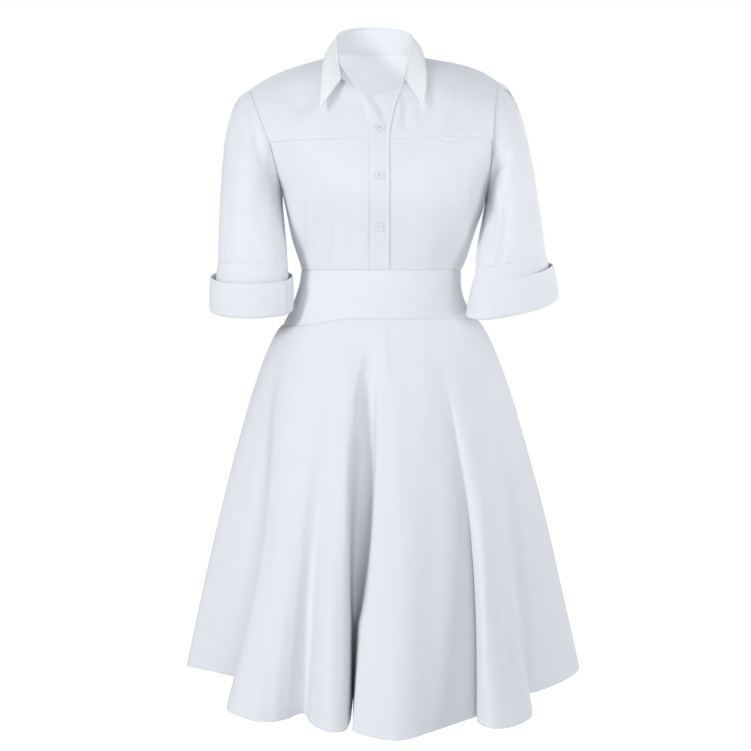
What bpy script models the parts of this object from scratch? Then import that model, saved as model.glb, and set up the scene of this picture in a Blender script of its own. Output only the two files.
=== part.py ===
"""Knee-length white uniform dress in its worn shape, hollow, as cloth walls.

All tables are in millimetres. X runs to the viewer's right, the front faces -Y, +Z is up.
The origin is at the shoulders on the centre plane.
"""
import bpy
import numpy as np

MM = 0.001
CLOTH = 1.6            # wall of one layer of cloth
DOUBLED = 2.2          # wall of the folded bands, cuffs and collar
SEAM_GAP = 0.3         # between two pieces at a seam
LEFT, RIGHT = -1, 1    # as the viewer sees them

NECK_V = 0.24          # row of the front neck point
YOKE_V = 0.45          # row of the yoke seam
ARMPIT_V = 0.76        # row of the armpit
WAIST_Z = -292.0       # seam of bodice and waistband

# Rows of the bodice's grids; the armhole's rows serve the sleeves too.
V_YOKE = np.linspace(0, YOKE_V, 9)
V_ARM = np.linspace(YOKE_V, ARMPIT_V, 6)
V_SIDE = np.linspace(ARMPIT_V, 1, 6)
V_BACK = np.linspace(0, ARMPIT_V, 12)

# One row per level of a front panel, from the shoulder seam to the waist seam.
# in = neckline or placket seam, out = armhole or side seam, turn = heading at the outer end in degrees
# (0 straight out, 90 straight back), push = fullness of the arc.
FRONT_NAMES = "v x_in y_in z_in x_out y_out z_out turn push".split()
FRONT_ROWS = {
    LEFT: [
        (0.00, -69, 2, 25.5, -196, 5, -25, 0, 1.00),
        (0.12, -59, -40, 0.5, -189, -18, -42, 22, 1.00),
        (0.24, -37, -72, -35, -180, -38, -63.5, 38, 1.00),
        (0.36, -24, -96, -75, -171, -52, -87, 48, 1.03),
        (0.45, -18.5, -111, -106, -163, -56, -109.5, 55, 1.06),
        (0.60, -18.5, -129, -144, -154, -44, -145, 66, 1.10),
        (0.70, -18.5, -134, -169.5, -149, -20, -171.5, 80, 1.15),
        (0.76, -18.5, -132, -187, -147, 0, -183, 90, 1.18),
        (0.88, -18.5, -116, -232, -136, 0, -228, 90, 1.18),
        (1.00, -18.5, -95, -292, -120, 0, -292, 90, 1.18),
    ],
    RIGHT: [
        (0.00, 47, 2, 25.5, 172, 5, -14, 0, 1.00),
        (0.12, 40, -40, 1.5, 168, -18, -34, 22, 1.00),
        (0.24, 29, -70, -28, 165, -38, -55.5, 38, 1.00),
        (0.36, 15, -94, -73, 162, -52, -83, 48, 1.03),
        (0.45, 9.5, -111, -106, 160, -56, -107, 55, 1.06),
        (0.60, 9.5, -129, -144, 158, -44, -145, 66, 1.10),
        (0.70, 9.5, -134, -169.5, 155.5, -20, -173.5, 80, 1.15),
        (0.76, 9.5, -132, -187, 154, 0, -187, 90, 1.18),
        (0.88, 9.5, -116, -232, 141, 0, -230, 90, 1.18),
        (1.00, 9.5, -95, -292, 118, 0, -292, 90, 1.18),
    ],
}

# The back in the same columns, from the centre back line to the armhole or side seam.
BACK_ROWS = {
    LEFT: [
        (0.00, -12, 60, 34, -196, 5, -25, 0, 1.00),
        (0.12, -11, 76, -3, -189, 30, -42, 24, 1.00),
        (0.24, -10, 86, -39, -180, 50, -63.5, 40, 1.00),
        (0.45, -7, 95, -102, -164, 60, -109.5, 56, 1.06),
        (0.60, -6, 97, -146, -154, 45, -145, 68, 1.10),
        (0.70, -5, 95, -173, -149, 20, -171.5, 80, 1.15),
        (0.76, -5, 93, -190, -147, 0, -183, 90, 1.18),
        (0.88, -4, 85, -236, -136, 0, -228, 90, 1.18),
        (1.00, -2, 80, -292, -120, 0, -292, 90, 1.18),
    ],
    RIGHT: [
        (0.00, -12, 60, 34, 172, 5, -14, 0, 1.00),
        (0.12, -11, 76, -3, 169, 30, -34, 24, 1.00),
        (0.24, -10, 86, -39, 166, 50, -55.5, 40, 1.00),
        (0.45, -7, 95, -102, 161, 60, -107, 56, 1.06),
        (0.60, -6, 97, -146, 158, 45, -145, 68, 1.10),
        (0.70, -5, 95, -173, 155.5, 20, -173.5, 80, 1.15),
        (0.76, -5, 93, -190, 154, 0, -187, 90, 1.18),
        (0.88, -4, 85, -236, 141, 0, -230, 90, 1.18),
        (1.00, -2, 80, -292, 118, 0, -292, 90, 1.18),
    ],
}
PANEL_FALL = (0.7, 1.3)            # how much of a panel's fall comes at its inner and at its outer end
SHOULDER_SLOPE = (-0.34, -0.75)    # of the shoulder seam at the neck and at the armhole
NECK_SHARE = 0.36                  # share of the back's top edge that is neckline
NECK_ROUND = (1.35, 1.45)          # fullness of the back neckline at the centre and at the shoulder
NECK_RISE = 16.0                   # how steeply the back neckline comes up to the shoulder seam
BACK_TOP_FADE = 0.42               # how far down the back the neckline's shape reaches
WAIST_FADE = 0.84                  # row from which the panels close onto the waistband
WAIST_LEVEL = 40.0                 # height above the waist over which the wall's edges turn level

# The placket strip: lift of its two layers, row where it starts to open, forward bow of its middle
# when closed and when open, drop of the open middle.
OVER_LIFT = 0.6
UNDER_LIFT = -2.0
OPEN_V = 0.42
STRIP_BOW = (0.4, 5.0)
STRIP_DROP = 9.0

# Sections of the waistband and the skirt's top: level, half spans.
BAND_NAMES = "z left right front back".split()
BAND_ROWS = [
    (-292, -120, 118, -95, 80),
    (-312, -123, 118, -101, 88),
    (-330, -128.5, 121, -106, 95),
    (-350, -136, 130, -112, 102),
    (-372, -147, 145, -120, 112),
]
BAND_DROP = [(-180, -366), (-90, -374), (-50, -372), (-15, -360), (20, -360), (90, -364), (180, -366)]

# One row per skirt fold line: angle at the waist, then the hem point it falls to, the hem's extra drop,
# the share of the skirt's length at which the fold starts, and how far the line bows to the viewer's right.
FOLD_NAMES = "turn x y drop start bow".split()
FOLD_ROWS = [
    (-90, -299, 0, 0, 0.05, 0),
    (-79, -275, -24, 0, 0.12, 4),
    (-70, -243, -46, 0, 0.14, 14),
    (-63, -209, -74, 4, 0.14, 24),
    (-56, -219, -182, 8, 0.12, 22),
    (-49, -188, -222, 11, 0.12, 15),
    (-39, -156, -231, 13, 0.10, 7),
    (-28, -132, -221, 12, 0.10, -1),
    (-20.5, -107, -205, 11, 0.10, -4),
    (-17, -97, -236, 14, 0.10, -5),
    (-14.2, -72, -263, 16, 0.10, -6),
    (-12, -51, -257, 16, 0.09, -8),
    (-10, -45, -236, 13, 0.08, -8),
    (-6, -42, -134, 8, 0.06, -5),
    (-0.5, -41, -238, 14, 0.03, -3),
    (4, -38, -265, 15, 0.02, -3),
    (10, 17, -291, 18, 0.02, 6),
    (16, 66, -264, 15, 0.04, 22),
    (20.5, 95, -238, 14, 0.06, 22),
    (24.5, 122, -212, 14, 0.08, 15),
    (27.5, 136, -200, 14, 0.08, 11),
    (29.5, 129, -222, 13, 0.08, 10),
    (33, 137, -248, 13, 0.08, 8),
    (39, 164, -254, 14, 0.08, 2),
    (46, 202, -222, 11, 0.08, -8),
    (51, 210, -186, 9, 0.09, -9),
    (59, 204, -134, 6, 0.12, -4),
    (68, 226, -118, 5, 0.12, 0),
    (78, 270, -74, 2, 0.10, 0),
    (90, 302, 0, 2, 0.05, 0),
    (104, 252, 88, 0, 0.15, 0),
    (116, 236, 182, 2, 0.10, 0),
    (128, 170, 206, 2, 0.12, 6),
    (140, 134, 156, 2, 0.12, 4),
    (152, 118, 250, 4, 0.10, -4),
    (164, 60, 262, 4, 0.10, -8),
    (176, 12, 178, 2, 0.12, -4),
    (188, -34, 262, 4, 0.10, 4),
    (200, -98, 258, 4, 0.10, 8),
    (211, -128, 158, 2, 0.12, 6),
    (224, -178, 216, 2, 0.12, 0),
    (238, -236, 176, 2, 0.10, 0),
    (254, -246, 86, 0, 0.12, 0),
]
HEM_Z = -895.0
HEM_SPAN = dict(left=-287.0, right=294.0, front=-226.0, back=226.0)
BOW_LATE = 1.2         # above 1 the bows of the fold lines lie lower than halfway
SKIRT_FLARE = 0.68     # below 1 the skirt springs out near the waist
FOLD_GROWTH = 1.25     # above 1 the folds deepen late
SKIRT_LEVEL = 6.0      # the wall's top edge turns level over one sixth of the length

# Turned-up cuffs: centre of the ring, centre of the sleeve end, half spans of the sleeve end, of the
# turned band's top and of its foot, depth of the foot,
# the levels of the seam, of the band's top edge and of the fold, slope to the side and to the front,
# the angle of the pressed crease, the turn of the oval in plan and the sleeve's lean.
CUFF_NAMES = ("x y x_in half_in half_top half_foot deep z_seam z_top z_foot"
              " roll pitch crease swing lean").split()
CUFFS = {
    LEFT: (-191.5, -48, -189, 51.5, 61.5, 63, 54, -275, -301, -350.5, 0.02, 0.20, 70, -20, 0),
    RIGHT: (190, -58, 187, 53, 61, 71, 53, -275, -296, -346, 0.17, 0.19, -48, 22, 0.12),
}
CREASE_REACH = 0.07    # how far the pressed crease sticks out, as a share of the radius
CREASE_WIDTH = 14.0    # degrees over which it dies away

# Rings of a cuff round its wall, from the band's top edge down, round the fold and up to the seam and
# back: the ring they start from, steps out and up, share of the way from the band's centre to the sleeve's.
CUFF_LOOP = [
    ("top", 0, 0, 0),
    ("band", 0.6, 0, 0),
    ("foot", 0, 5, 0),
    ("foot", -0.9, 1.2, 0),
    ("foot", -3.2, 0, 0),
    ("foot", -5.6, 1.2, 0),
    ("foot", -6.5, 5, 0),
    ("inside", -4.3, 0, 0.5),
    ("seam", -DOUBLED, 0, 1),
    ("seam", 0, 0, 1),
    ("inside", -2.1, 0, 0.5),
    ("foot", -4.2, 5, 0),
    ("foot", -3.2, 3, 0),
    ("foot", -DOUBLED, 5, 0),
    ("band", 0.6 - DOUBLED, 0, 0),
    ("top", -DOUBLED, 0, 0),
]

# How the sleeve leaves the armhole, by share of the armhole from the shoulder down the front and up the
# back: turn against the bodice's cloth, pull at the armhole and at the cuff.
SLEEVE_SPRING = {LEFT: 1.0, RIGHT: 0.84}
SLEEVE_NAMES = "share turn leave arrive".split()
SLEEVE_ROWS = [
    (0.00, 14, 150, 250),
    (0.12, 30, 120, 230),
    (0.27, 60, 85, 190),
    (0.40, 110, 60, 120),
    (0.50, 155, 45, 60),
    (0.60, 110, 60, 120),
    (0.73, 60, 85, 190),
    (0.88, 30, 120, 230),
    (1.00, 14, 150, 250),
]
SLEEVE_EASE = 1.15     # above 1 the rows lie closer at the armhole

# Collar, from the left front end round the back to the right front end: the neck seam follows the
# necklines, roll = the folded top edge, edge = the leaf's outer edge.
COLLAR_NAMES = "w roll_x roll_y roll_z edge_x edge_y edge_z".split()
COLLAR_ROWS = [
    (0.00, -59, -68, -18, -88, -96, -64),
    (0.10, -63, -42, 5, -88, -69, -29),
    (0.20, -66, -10, 32, -86, -22, 14),
    (0.30, -66, 22, 55, -77, 30, 37),
    (0.40, -46, 47, 68, -54, 64, 37),
    (0.50, -12, 57, 72, -12, 78, 37),
    (0.60, 22, 47, 68, 30, 64, 37),
    (0.70, 43, 22, 55, 56, 30, 37),
    (0.80, 42, -10, 32, 62, -23, 17),
    (0.90, 37, -42, 5, 63, -70, -25),
    (1.00, 31, -68, -17, 57, -97, -62),
]
STAND_BOW = 0.75       # outward bow of the stand
LEAF_BOW = 2.5         # outward bow of the leaf

# The leaf's upper and under face where it folds over the stand: steps outward and up.
ROLL_UPPER = [(-CLOTH, DOUBLED + 0.35), (0.2, DOUBLED + 0.35), (2.0, 1.9), (DOUBLED + 0.9, 0.2)]
ROLL_UNDER = [(-CLOTH, 0.35), (-0.4, 0.35), (0.4, 0.35), (0.8, -0.6)]

BUTTON_Z = (-92.5, -160.0, -231.0)
BUTTON = dict(radius=6.6, thick=2.4, rim=1.1, dish=0.8, hole=0.75, spread=1.55, under=0.8, edge=0.5)
BUTTON_LIFT = 1.0      # over the placket strip's own points: its lift and the seam gap

# The pocket's lip: span in u, stand-off, thickness, and for each row its step below the yoke seam and
# how far it gapes.
POCKET = dict(u0=0.44, u1=0.80, off=0.35, thick=1.5)
POCKET_ROWS = [(0.004, 2.2), (0.012, 1.2), (0.020, 0.3)]


def through(rows, names, key, steady=True):
    """Smooth curves through a table: each named column as a cubic in the first column.

    A steady curve never passes the values of its rows.
    """
    data = np.array(rows, float)
    knots, values = data[:, 0], data[:, 1:]
    steps = np.diff(knots)[:, None]
    slopes = np.diff(values, axis=0) / steps
    tangents = np.empty_like(values)
    tangents[0], tangents[-1] = slopes[0], slopes[-1]
    before, after = slopes[:-1], slopes[1:]
    tangents[1:-1] = (before * steps[1:] + after * steps[:-1]) / (steps[:-1] + steps[1:])
    if steady:
        same = before * after > 0
        harmonic = 2 * before * after / np.where(same, before + after, 1)
        tangents[1:-1] = np.where(same, harmonic, 0)
    key = np.asarray(key, float)
    i = np.clip(np.searchsorted(knots, key, side="right") - 1, 0, len(knots) - 2)
    width = (knots[i + 1] - knots[i])[..., None]
    t = ((key - knots[i])[..., None]) / width
    out = ((2 * t**3 - 3 * t**2 + 1) * values[i] + (t**3 - 2 * t**2 + t) * width * tangents[i]
           + (3 * t**2 - 2 * t**3) * values[i + 1] + (t**3 - t**2) * width * tangents[i + 1])
    return dict(zip(names[1:], np.moveaxis(out, -1, 0)))


def stack(*parts):
    return np.stack(np.broadcast_arrays(*parts), axis=-1)


def hermite(start, end, leave, arrive, t):
    t = np.asarray(t, float)[..., None]
    return ((2 * t**3 - 3 * t**2 + 1) * start + (t**3 - 2 * t**2 + t) * leave
            + (3 * t**2 - 2 * t**3) * end + (t**3 - t**2) * arrive)


def panel(rows, side, facing, u, v):
    """Point of a bodice panel: u from the centre out, v from the shoulder down; facing -1 front, 1 back."""
    u, v = np.broadcast_arrays(np.asarray(u, float), np.asarray(v, float))
    row = through(rows[side], FRONT_NAMES, v)
    start = stack(row["x_in"], row["y_in"], row["z_in"])
    end = stack(row["x_out"], row["y_out"], row["z_out"])
    reach = np.linalg.norm(end - start, axis=-1) * row["push"]
    fall = row["z_out"] - row["z_in"]
    turn = np.radians(row["turn"])
    leave = stack(side * reach, 0 * reach, fall * PANEL_FALL[0])
    arrive = stack(side * np.cos(turn) * reach, -facing * np.sin(turn) * reach, fall * PANEL_FALL[1])
    return hermite(start, end, leave, arrive, u)


def waist_shift(rows, side, facing, u, v):
    """Brings the foot of a panel onto the waistband's top edge."""
    foot = panel(rows, side, facing, u, 1.0)
    span = BAND_ROWS[0]
    middle, half = (span[1] + span[2]) / 2, (span[2] - span[1]) / 2
    deep = span[4] if facing > 0 else -span[3]
    angle = np.degrees(np.arctan2((foot[..., 0] - middle) / half, -foot[..., 1] / deep))
    near = np.clip((v - WAIST_FADE) / (1 - WAIST_FADE), 0, 1) ** 2
    return (ring(WAIST_Z, angle) - foot) * near[..., None]


def shoulder(side, t):
    """The shoulder seam from the neck to the armhole."""
    first = through(FRONT_ROWS[side], FRONT_NAMES, np.array(0.0))
    start = stack(first["x_in"], first["y_in"], first["z_in"])
    end = stack(first["x_out"], first["y_out"], first["z_out"])
    run = abs(end[0] - start[0])
    leave = np.array([side * run, 0, SHOULDER_SLOPE[0] * run])
    arrive = np.array([side * run, 0, SHOULDER_SLOPE[1] * run])
    return hermite(start, end, leave, arrive, t)


def front(side, u, v):
    """A front with its shoulder seam in place."""
    u, v = np.broadcast_arrays(np.asarray(u, float), np.asarray(v, float))
    shift = shoulder(side, u) - panel(FRONT_ROWS, side, -1, u, 0.0)
    fade = np.clip(1 - v / NECK_V, 0, 1) ** 2
    foot = waist_shift(FRONT_ROWS, side, -1, u, v)
    return panel(FRONT_ROWS, side, -1, u, v) + shift * fade[..., None] + foot


def back_neckline(side, t):
    """The neck seam from the centre back to the shoulder seam."""
    centre = panel(BACK_ROWS, side, 1, 0.0, 0.0)
    corner = shoulder(side, 0.0)
    half = abs(corner[0] - centre[0])
    leave = np.array([side * NECK_ROUND[0] * half, 0, 0])
    arrive = np.array([0, -NECK_ROUND[1] * half, -NECK_RISE])
    return hermite(centre, corner, leave, arrive, t)


def back(side, u, v):
    """Half of the back: its top edge is the neckline, then the shoulder seam."""
    u, v = np.broadcast_arrays(np.asarray(u, float), np.asarray(v, float))
    neck = back_neckline(side, np.clip(u / NECK_SHARE, 0, 1))
    seam = shoulder(side, np.clip((u - NECK_SHARE) / (1 - NECK_SHARE), 0, 1))
    top = np.where((u < NECK_SHARE)[..., None], neck, seam)
    shift = top - panel(BACK_ROWS, side, 1, u, 0.0)
    fade = np.clip(1 - v / BACK_TOP_FADE, 0, 1) ** 2
    foot = waist_shift(BACK_ROWS, side, 1, u, v)
    return panel(BACK_ROWS, side, 1, u, v) + shift * fade[..., None] + foot


def placket(w, v):
    """The strip between the two fronts: w from the left edge to the right edge."""
    w, v = np.broadcast_arrays(np.asarray(w, float), np.asarray(v, float))
    left, right = front(LEFT, 0.0 * w, v), front(RIGHT, 0.0 * w, v)
    point = left + (right - left) * w[..., None]
    open_top = np.clip((OPEN_V - v) / (OPEN_V - NECK_V), 0, 1)
    bow = 4 * w * (1 - w)
    point[..., 1] -= bow * (STRIP_BOW[0] + STRIP_BOW[1] * open_top)
    point[..., 2] -= bow * STRIP_DROP * open_top**2
    return point


def ring(z, angle):
    """Point of the waistband at a level, angle in degrees from the front towards the viewer's right."""
    z, angle = np.broadcast_arrays(np.asarray(z, float), np.asarray(angle, float))
    row = through(BAND_ROWS[::-1], BAND_NAMES, z)
    return oval(row, z, angle)


def oval(row, z, angle, square=0.06):
    a = np.radians(angle)
    x_mid = (row["left"] + row["right"]) / 2
    x_half = (row["right"] - row["left"]) / 2
    deep = np.where(np.cos(a) > 0, -row["front"], row["back"])
    x = x_mid + x_half * np.sin(a) * (1 + square * np.cos(a) ** 2)
    y = -deep * np.cos(a) * (1 + square * np.sin(a) ** 2)
    return stack(x, y, z)


def band_foot(angle):
    """Level of the seam of waistband and skirt."""
    wrapped = (np.asarray(angle, float) + 180) % 360 - 180
    return through(BAND_DROP, ["turn", "z"], wrapped)["z"]


def hem_points(angle):
    """The hem's plan, its drop and the start of its folds, as smooth functions of the waist angle."""
    first, last = FOLD_ROWS[:3], FOLD_ROWS[-3:]
    rows = [(r[0] - 360, *r[1:]) for r in last] + FOLD_ROWS + [(r[0] + 360, *r[1:]) for r in first]
    wrapped = (np.asarray(angle, float) + 90) % 360 - 90
    return through(rows, FOLD_NAMES, wrapped, steady=False)


def skirt(angle, s):
    """Point of the skirt: s from the waistband seam to the hem."""
    angle, s = np.broadcast_arrays(np.asarray(angle, float), np.asarray(s, float))
    z_top = band_foot(angle)
    top = ring(z_top, angle)
    hem = hem_points(angle)
    plain = oval({k: np.full(angle.shape, v) for k, v in HEM_SPAN.items()}, HEM_Z, angle, 0.0)
    spread = s**SKIRT_FLARE
    flat = top[..., :2] + (plain[..., :2] - top[..., :2]) * spread[..., None]
    grow = np.clip((s - hem["start"]) / (1 - hem["start"]), 0, 1) ** FOLD_GROWTH
    fold = stack(hem["x"], hem["y"]) - plain[..., :2]
    plan = flat + fold * grow[..., None]
    plan[..., 0] += hem["bow"] * np.sin(np.pi * s**BOW_LATE)
    z = z_top + (HEM_Z - hem["drop"] - z_top) * s
    return np.concatenate([plan, z[..., None]], axis=-1)


def grid_normals(grid, wrap=False):
    """Unit normals of a grid of points, outward when rows run down and columns to the viewer's right."""
    if wrap:
        across = np.roll(grid, -1, axis=1) - np.roll(grid, 1, axis=1)
    else:
        across = np.gradient(grid, axis=1)
    down = np.gradient(grid, axis=0)
    normal = np.cross(across, -down)
    length = np.linalg.norm(normal, axis=-1, keepdims=True)
    return normal / np.where(length > 1e-9, length, 1)


def trimmed(grid, sides):
    """Moves the named borders of a grid inward by half the seam gap."""
    grid = grid.copy()
    half = SEAM_GAP / 2

    def pull(edge, inner):
        step = inner - edge
        return edge + step * (half / np.linalg.norm(step, axis=-1, keepdims=True))

    if "top" in sides:
        grid[0] = pull(grid[0], grid[1])
    if "foot" in sides:
        grid[-1] = pull(grid[-1], grid[-2])
    if "first" in sides:
        grid[:, 0] = pull(grid[:, 0], grid[:, 1])
    if "last" in sides:
        grid[:, -1] = pull(grid[:, -1], grid[:, -2])
    return grid


def wall(outer, inner, wrap=False):
    """Vertices and faces of a closed wall between two grids of the same size."""
    rows, cols = outer.shape[:2]
    verts = np.concatenate([outer.reshape(-1, 3), inner.reshape(-1, 3)])
    size = rows * cols
    faces = []
    across = cols if wrap else cols - 1

    def at(layer, i, j):
        return layer * size + i * cols + j % cols

    def quad(a, b, c, d):
        short = np.linalg.norm(verts[a] - verts[c]) <= np.linalg.norm(verts[b] - verts[d])
        if short:
            faces.extend([(a, b, c), (a, c, d)])
        else:
            faces.extend([(a, b, d), (b, c, d)])

    for i in range(rows - 1):
        for j in range(across):
            quad(at(0, i, j), at(0, i + 1, j), at(0, i + 1, j + 1), at(0, i, j + 1))
            quad(at(1, i, j), at(1, i, j + 1), at(1, i + 1, j + 1), at(1, i + 1, j))
    for j in range(across):
        quad(at(0, 0, j), at(0, 0, j + 1), at(1, 0, j + 1), at(1, 0, j))
        quad(at(0, rows - 1, j), at(1, rows - 1, j), at(1, rows - 1, j + 1), at(0, rows - 1, j + 1))
    if not wrap:
        for i in range(rows - 1):
            quad(at(0, i, 0), at(1, i, 0), at(1, i + 1, 0), at(0, i + 1, 0))
            quad(at(0, i, cols - 1), at(0, i + 1, cols - 1), at(1, i + 1, cols - 1), at(1, i, cols - 1))
    return verts, faces


def add(name, verts, faces, material):
    mesh = bpy.data.meshes.new(name)
    mesh.from_pydata([tuple(p) for p in np.asarray(verts) * MM], [], faces)
    mesh.validate()
    mesh.update()
    mesh.materials.append(material)
    obj = bpy.data.objects.new(name, mesh)
    bpy.context.scene.collection.objects.link(obj)
    return obj


def surface(name, base, rough, sheen=0.0):
    material = bpy.data.materials.new(name)
    material.use_nodes = True
    shader = material.node_tree.nodes["Principled BSDF"]
    shader.inputs["Base Color"].default_value = (*base, 1)
    shader.inputs["Roughness"].default_value = rough
    shader.inputs["Sheen Weight"].default_value = sheen
    return material


def cloth(name, tint=0.0):
    return surface(name + "_cloth", (0.84 - tint, 0.85 - tint, 0.88 - tint), 0.8, 0.15)


def place(point):
    """A key that is the same for points that lie together; the shift keeps round numbers off its steps."""
    return tuple(np.floor(point * 11 + 0.37).astype(int))


def bodice_grids():
    """Outer grids of the bodice panels with one shared normal at each shared point."""
    u = np.linspace(0, 1, 13)
    v_low = np.concatenate([V_ARM, V_SIDE[1:]])
    grids = {}
    for side, tag in ((LEFT, "left"), (RIGHT, "right")):
        order = slice(None, None, side)
        for part, rows in (("yoke", V_YOKE), ("front", v_low)):
            grids[f"{part}_{tag}"] = front(side, u[None, :], rows[:, None])[:, order]
    w = np.linspace(0, 1, 5)
    v_strip = np.concatenate([np.linspace(NECK_V, YOKE_V, 6), v_low[1:]])
    grids["placket"] = placket(w[None, :], v_strip[:, None])
    half = np.concatenate([np.linspace(0, NECK_SHARE, 5), NECK_SHARE + (1 - NECK_SHARE) * u[1:]])
    v_back = np.concatenate([V_BACK, V_SIDE[1:]])
    right = back(RIGHT, half[None, :], v_back[:, None])
    left = back(LEFT, half[None, 1:], v_back[:, None])
    grids["back"] = np.concatenate([right[:, ::-1], left], axis=1)
    normals = {name: grid_normals(grid) for name, grid in grids.items()}
    shared = {}
    for name, grid in grids.items():
        for point, normal in zip(grid.reshape(-1, 3), normals[name].reshape(-1, 3)):
            shared[place(point)] = shared.get(place(point), 0) + normal
    for name, grid in grids.items():
        joined = np.array([shared[place(p)] for p in grid.reshape(-1, 3)])
        level = np.clip((grid[..., 2] - WAIST_Z) / WAIST_LEVEL, 0, 1)
        joined = joined.reshape(grid.shape)
        joined[..., 2] *= level
        normals[name] = joined / np.linalg.norm(joined, axis=-1, keepdims=True)
    return grids, normals


def offset_wall(grid, normal, sides, thick, lift=0.0, wrap=False):
    trim = trimmed(grid, sides)
    return wall(trim + normal * lift, trim + normal * (lift - thick), wrap)


def make_bodice():
    grids, normals = bodice_grids()
    for tag in ("left", "right"):
        inner = "last" if tag == "left" else "first"
        outer = "first" if tag == "left" else "last"
        name = {"left": "right", "right": "left"}[tag]      # named as the wearer's sides
        yoke, low = f"yoke_{tag}", f"front_{tag}"
        add(f"front_yoke_{name}",
            *offset_wall(grids[yoke], normals[yoke], ("top", "foot", inner), CLOTH),
            cloth(f"yoke_{name}"))
        add(f"front_bodice_{name}",
            *offset_wall(grids[low], normals[low], ("top", "foot", inner, outer), CLOTH),
            cloth(f"front_{name}"))
    add("back_bodice", *offset_wall(grids["back"], normals["back"], ("top", "foot", "first", "last"), CLOTH),
        cloth("back"))
    strip, strip_n = grids["placket"], normals["placket"]
    add("placket_over", *offset_wall(strip, strip_n, ("foot", "first", "last"), DOUBLED, OVER_LIFT),
        cloth("placket_over"))
    under = strip[1:, 1:]
    add("placket_under", *offset_wall(under, strip_n[1:, 1:], ("foot", "last"), CLOTH, UNDER_LIFT),
        cloth("placket_under"))
    return grids, normals


def make_waistband():
    for name, angles in (("front", np.linspace(-90, 90, 33)), ("back", np.linspace(90, 270, 25))):
        t = np.linspace(0, 1, 4)[:, None]
        z = WAIST_Z + (band_foot(angles)[None, :] - WAIST_Z) * t
        grid = ring(z, angles[None, :])
        normal = grid_normals(grid)
        normal[..., 2] = 0
        normal[:, 0] = (1 if name == "back" else -1, 0, 0)
        normal[:, -1] = (-1 if name == "back" else 1, 0, 0)
        normal /= np.linalg.norm(normal, axis=-1, keepdims=True)
        add(f"waistband_{name}", *offset_wall(grid, normal, ("top", "foot", "first", "last"), DOUBLED),
            cloth(f"waistband_{name}", 0.01))


def make_skirt():
    for name, start, end, columns in (("front", -90, 90, 57), ("back", 90, 270, 45)):
        angles = np.linspace(start, end, columns)
        s = np.linspace(0, 1, 12)[:, None]
        grid = skirt(angles[None, :], s)
        normal = grid_normals(grid)
        normal[:, 0] = (1 if name == "back" else -1, 0, 0)
        normal[:, -1] = (-1 if name == "back" else 1, 0, 0)
        level = np.clip(s * SKIRT_LEVEL, 0, 1)
        normal[..., 2] *= level
        normal /= np.linalg.norm(normal, axis=-1, keepdims=True)
        add(f"skirt_{name}", *offset_wall(grid, normal, ("top", "first", "last"), CLOTH),
            cloth(f"skirt_{name}"))


def armhole(side, v_front, v_back):
    """The armhole's loop, down the front and up the back: points, cloth normals, ways out of the armhole."""
    points, normals = [], []
    for surface_of, rows, facing in ((front, v_front, -1), (back, v_back, 1)):
        u = np.array([[0.97, 1.0]])
        grid = surface_of(side, u, rows[:, None])
        across = grid[:, 1] - grid[:, 0]
        down = np.gradient(grid[:, 1], rows, axis=0)
        normal = np.cross(across, -down) * (side * -facing)
        points.append(grid[:, 1])
        normals.append(normal / np.linalg.norm(normal, axis=-1, keepdims=True))
    points = np.concatenate([points[0], points[1][-2:0:-1]])
    top, pit = normals[0][0] + normals[1][0], normals[0][-1] + normals[1][-1]
    normals[0][0], normals[0][-1] = top, pit
    normals = np.concatenate([normals[0], normals[1][-2:0:-1]])
    normals /= np.linalg.norm(normals, axis=-1, keepdims=True)
    along = np.roll(points, -1, axis=0) - np.roll(points, 1, axis=0)
    out = np.cross(normals, along) * side
    out /= np.linalg.norm(out, axis=-1, keepdims=True)
    return points, normals, out


def cuff_ring(side, half, deep, z, angle, inner=0.0):
    """Point of a cuff: half spans, level and the angle from the front towards the viewer's right.

    inner is 0 on the turned-up band's centre and 1 on the sleeve's.
    """
    c = dict(zip(CUFF_NAMES, CUFFS[side]))
    middle = c["x"] + (c["x_in"] - c["x"]) * inner
    a = np.radians(angle)
    gap = np.abs((angle - c["crease"] + 180) % 360 - 180)
    press = 1 + CREASE_REACH * np.exp(-gap / CREASE_WIDTH)
    across, along = half * np.sin(a) * press, -deep * np.cos(a) * press
    swing = np.radians(c["swing"])
    x = across * np.cos(swing) - along * np.sin(swing)
    y = across * np.sin(swing) + along * np.cos(swing)
    return stack(middle + x, c["y"] + y, z + c["roll"] * x + c["pitch"] * y)


def sleeve(side, points, normals, out, rows):
    """Grid of a sleeve from the armhole's loop to the cuff seam."""
    c = dict(zip(CUFF_NAMES, CUFFS[side]))
    step = np.linalg.norm(np.roll(points, -1, axis=0) - points, axis=-1)
    share = np.concatenate([[0], np.cumsum(step)[:-1]]) / step.sum()
    lead = through(SLEEVE_ROWS, SLEEVE_NAMES, share)
    turn = np.radians(lead["turn"])[:, None]
    start = points + (out * np.cos(turn / 2) + normals * np.sin(turn / 2)) * SEAM_GAP
    leave = (out * np.cos(turn) + normals * np.sin(turn)) * lead["leave"][:, None] * SLEEVE_SPRING[side]
    angle = side * (90 - 360 * share)
    half, deep, level = c["half_in"], c["half_in"] + c["deep"] - c["half_foot"], c["z_seam"] + SEAM_GAP
    end = cuff_ring(side, half, deep, level, angle, 1.0)
    arrive = np.array([c["lean"], 0, -1]) * lead["arrive"][:, None]
    grid = hermite(start, end, leave, arrive, rows[:, None])
    inward = grid_normals(grid, wrap=True) * side
    inward[0] = out * np.sin(turn) - normals * np.cos(turn)
    inward[-1] = (cuff_ring(side, half - CLOTH, deep - CLOTH, level, angle, 1.0) - end) / CLOTH
    return grid, inward


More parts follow.
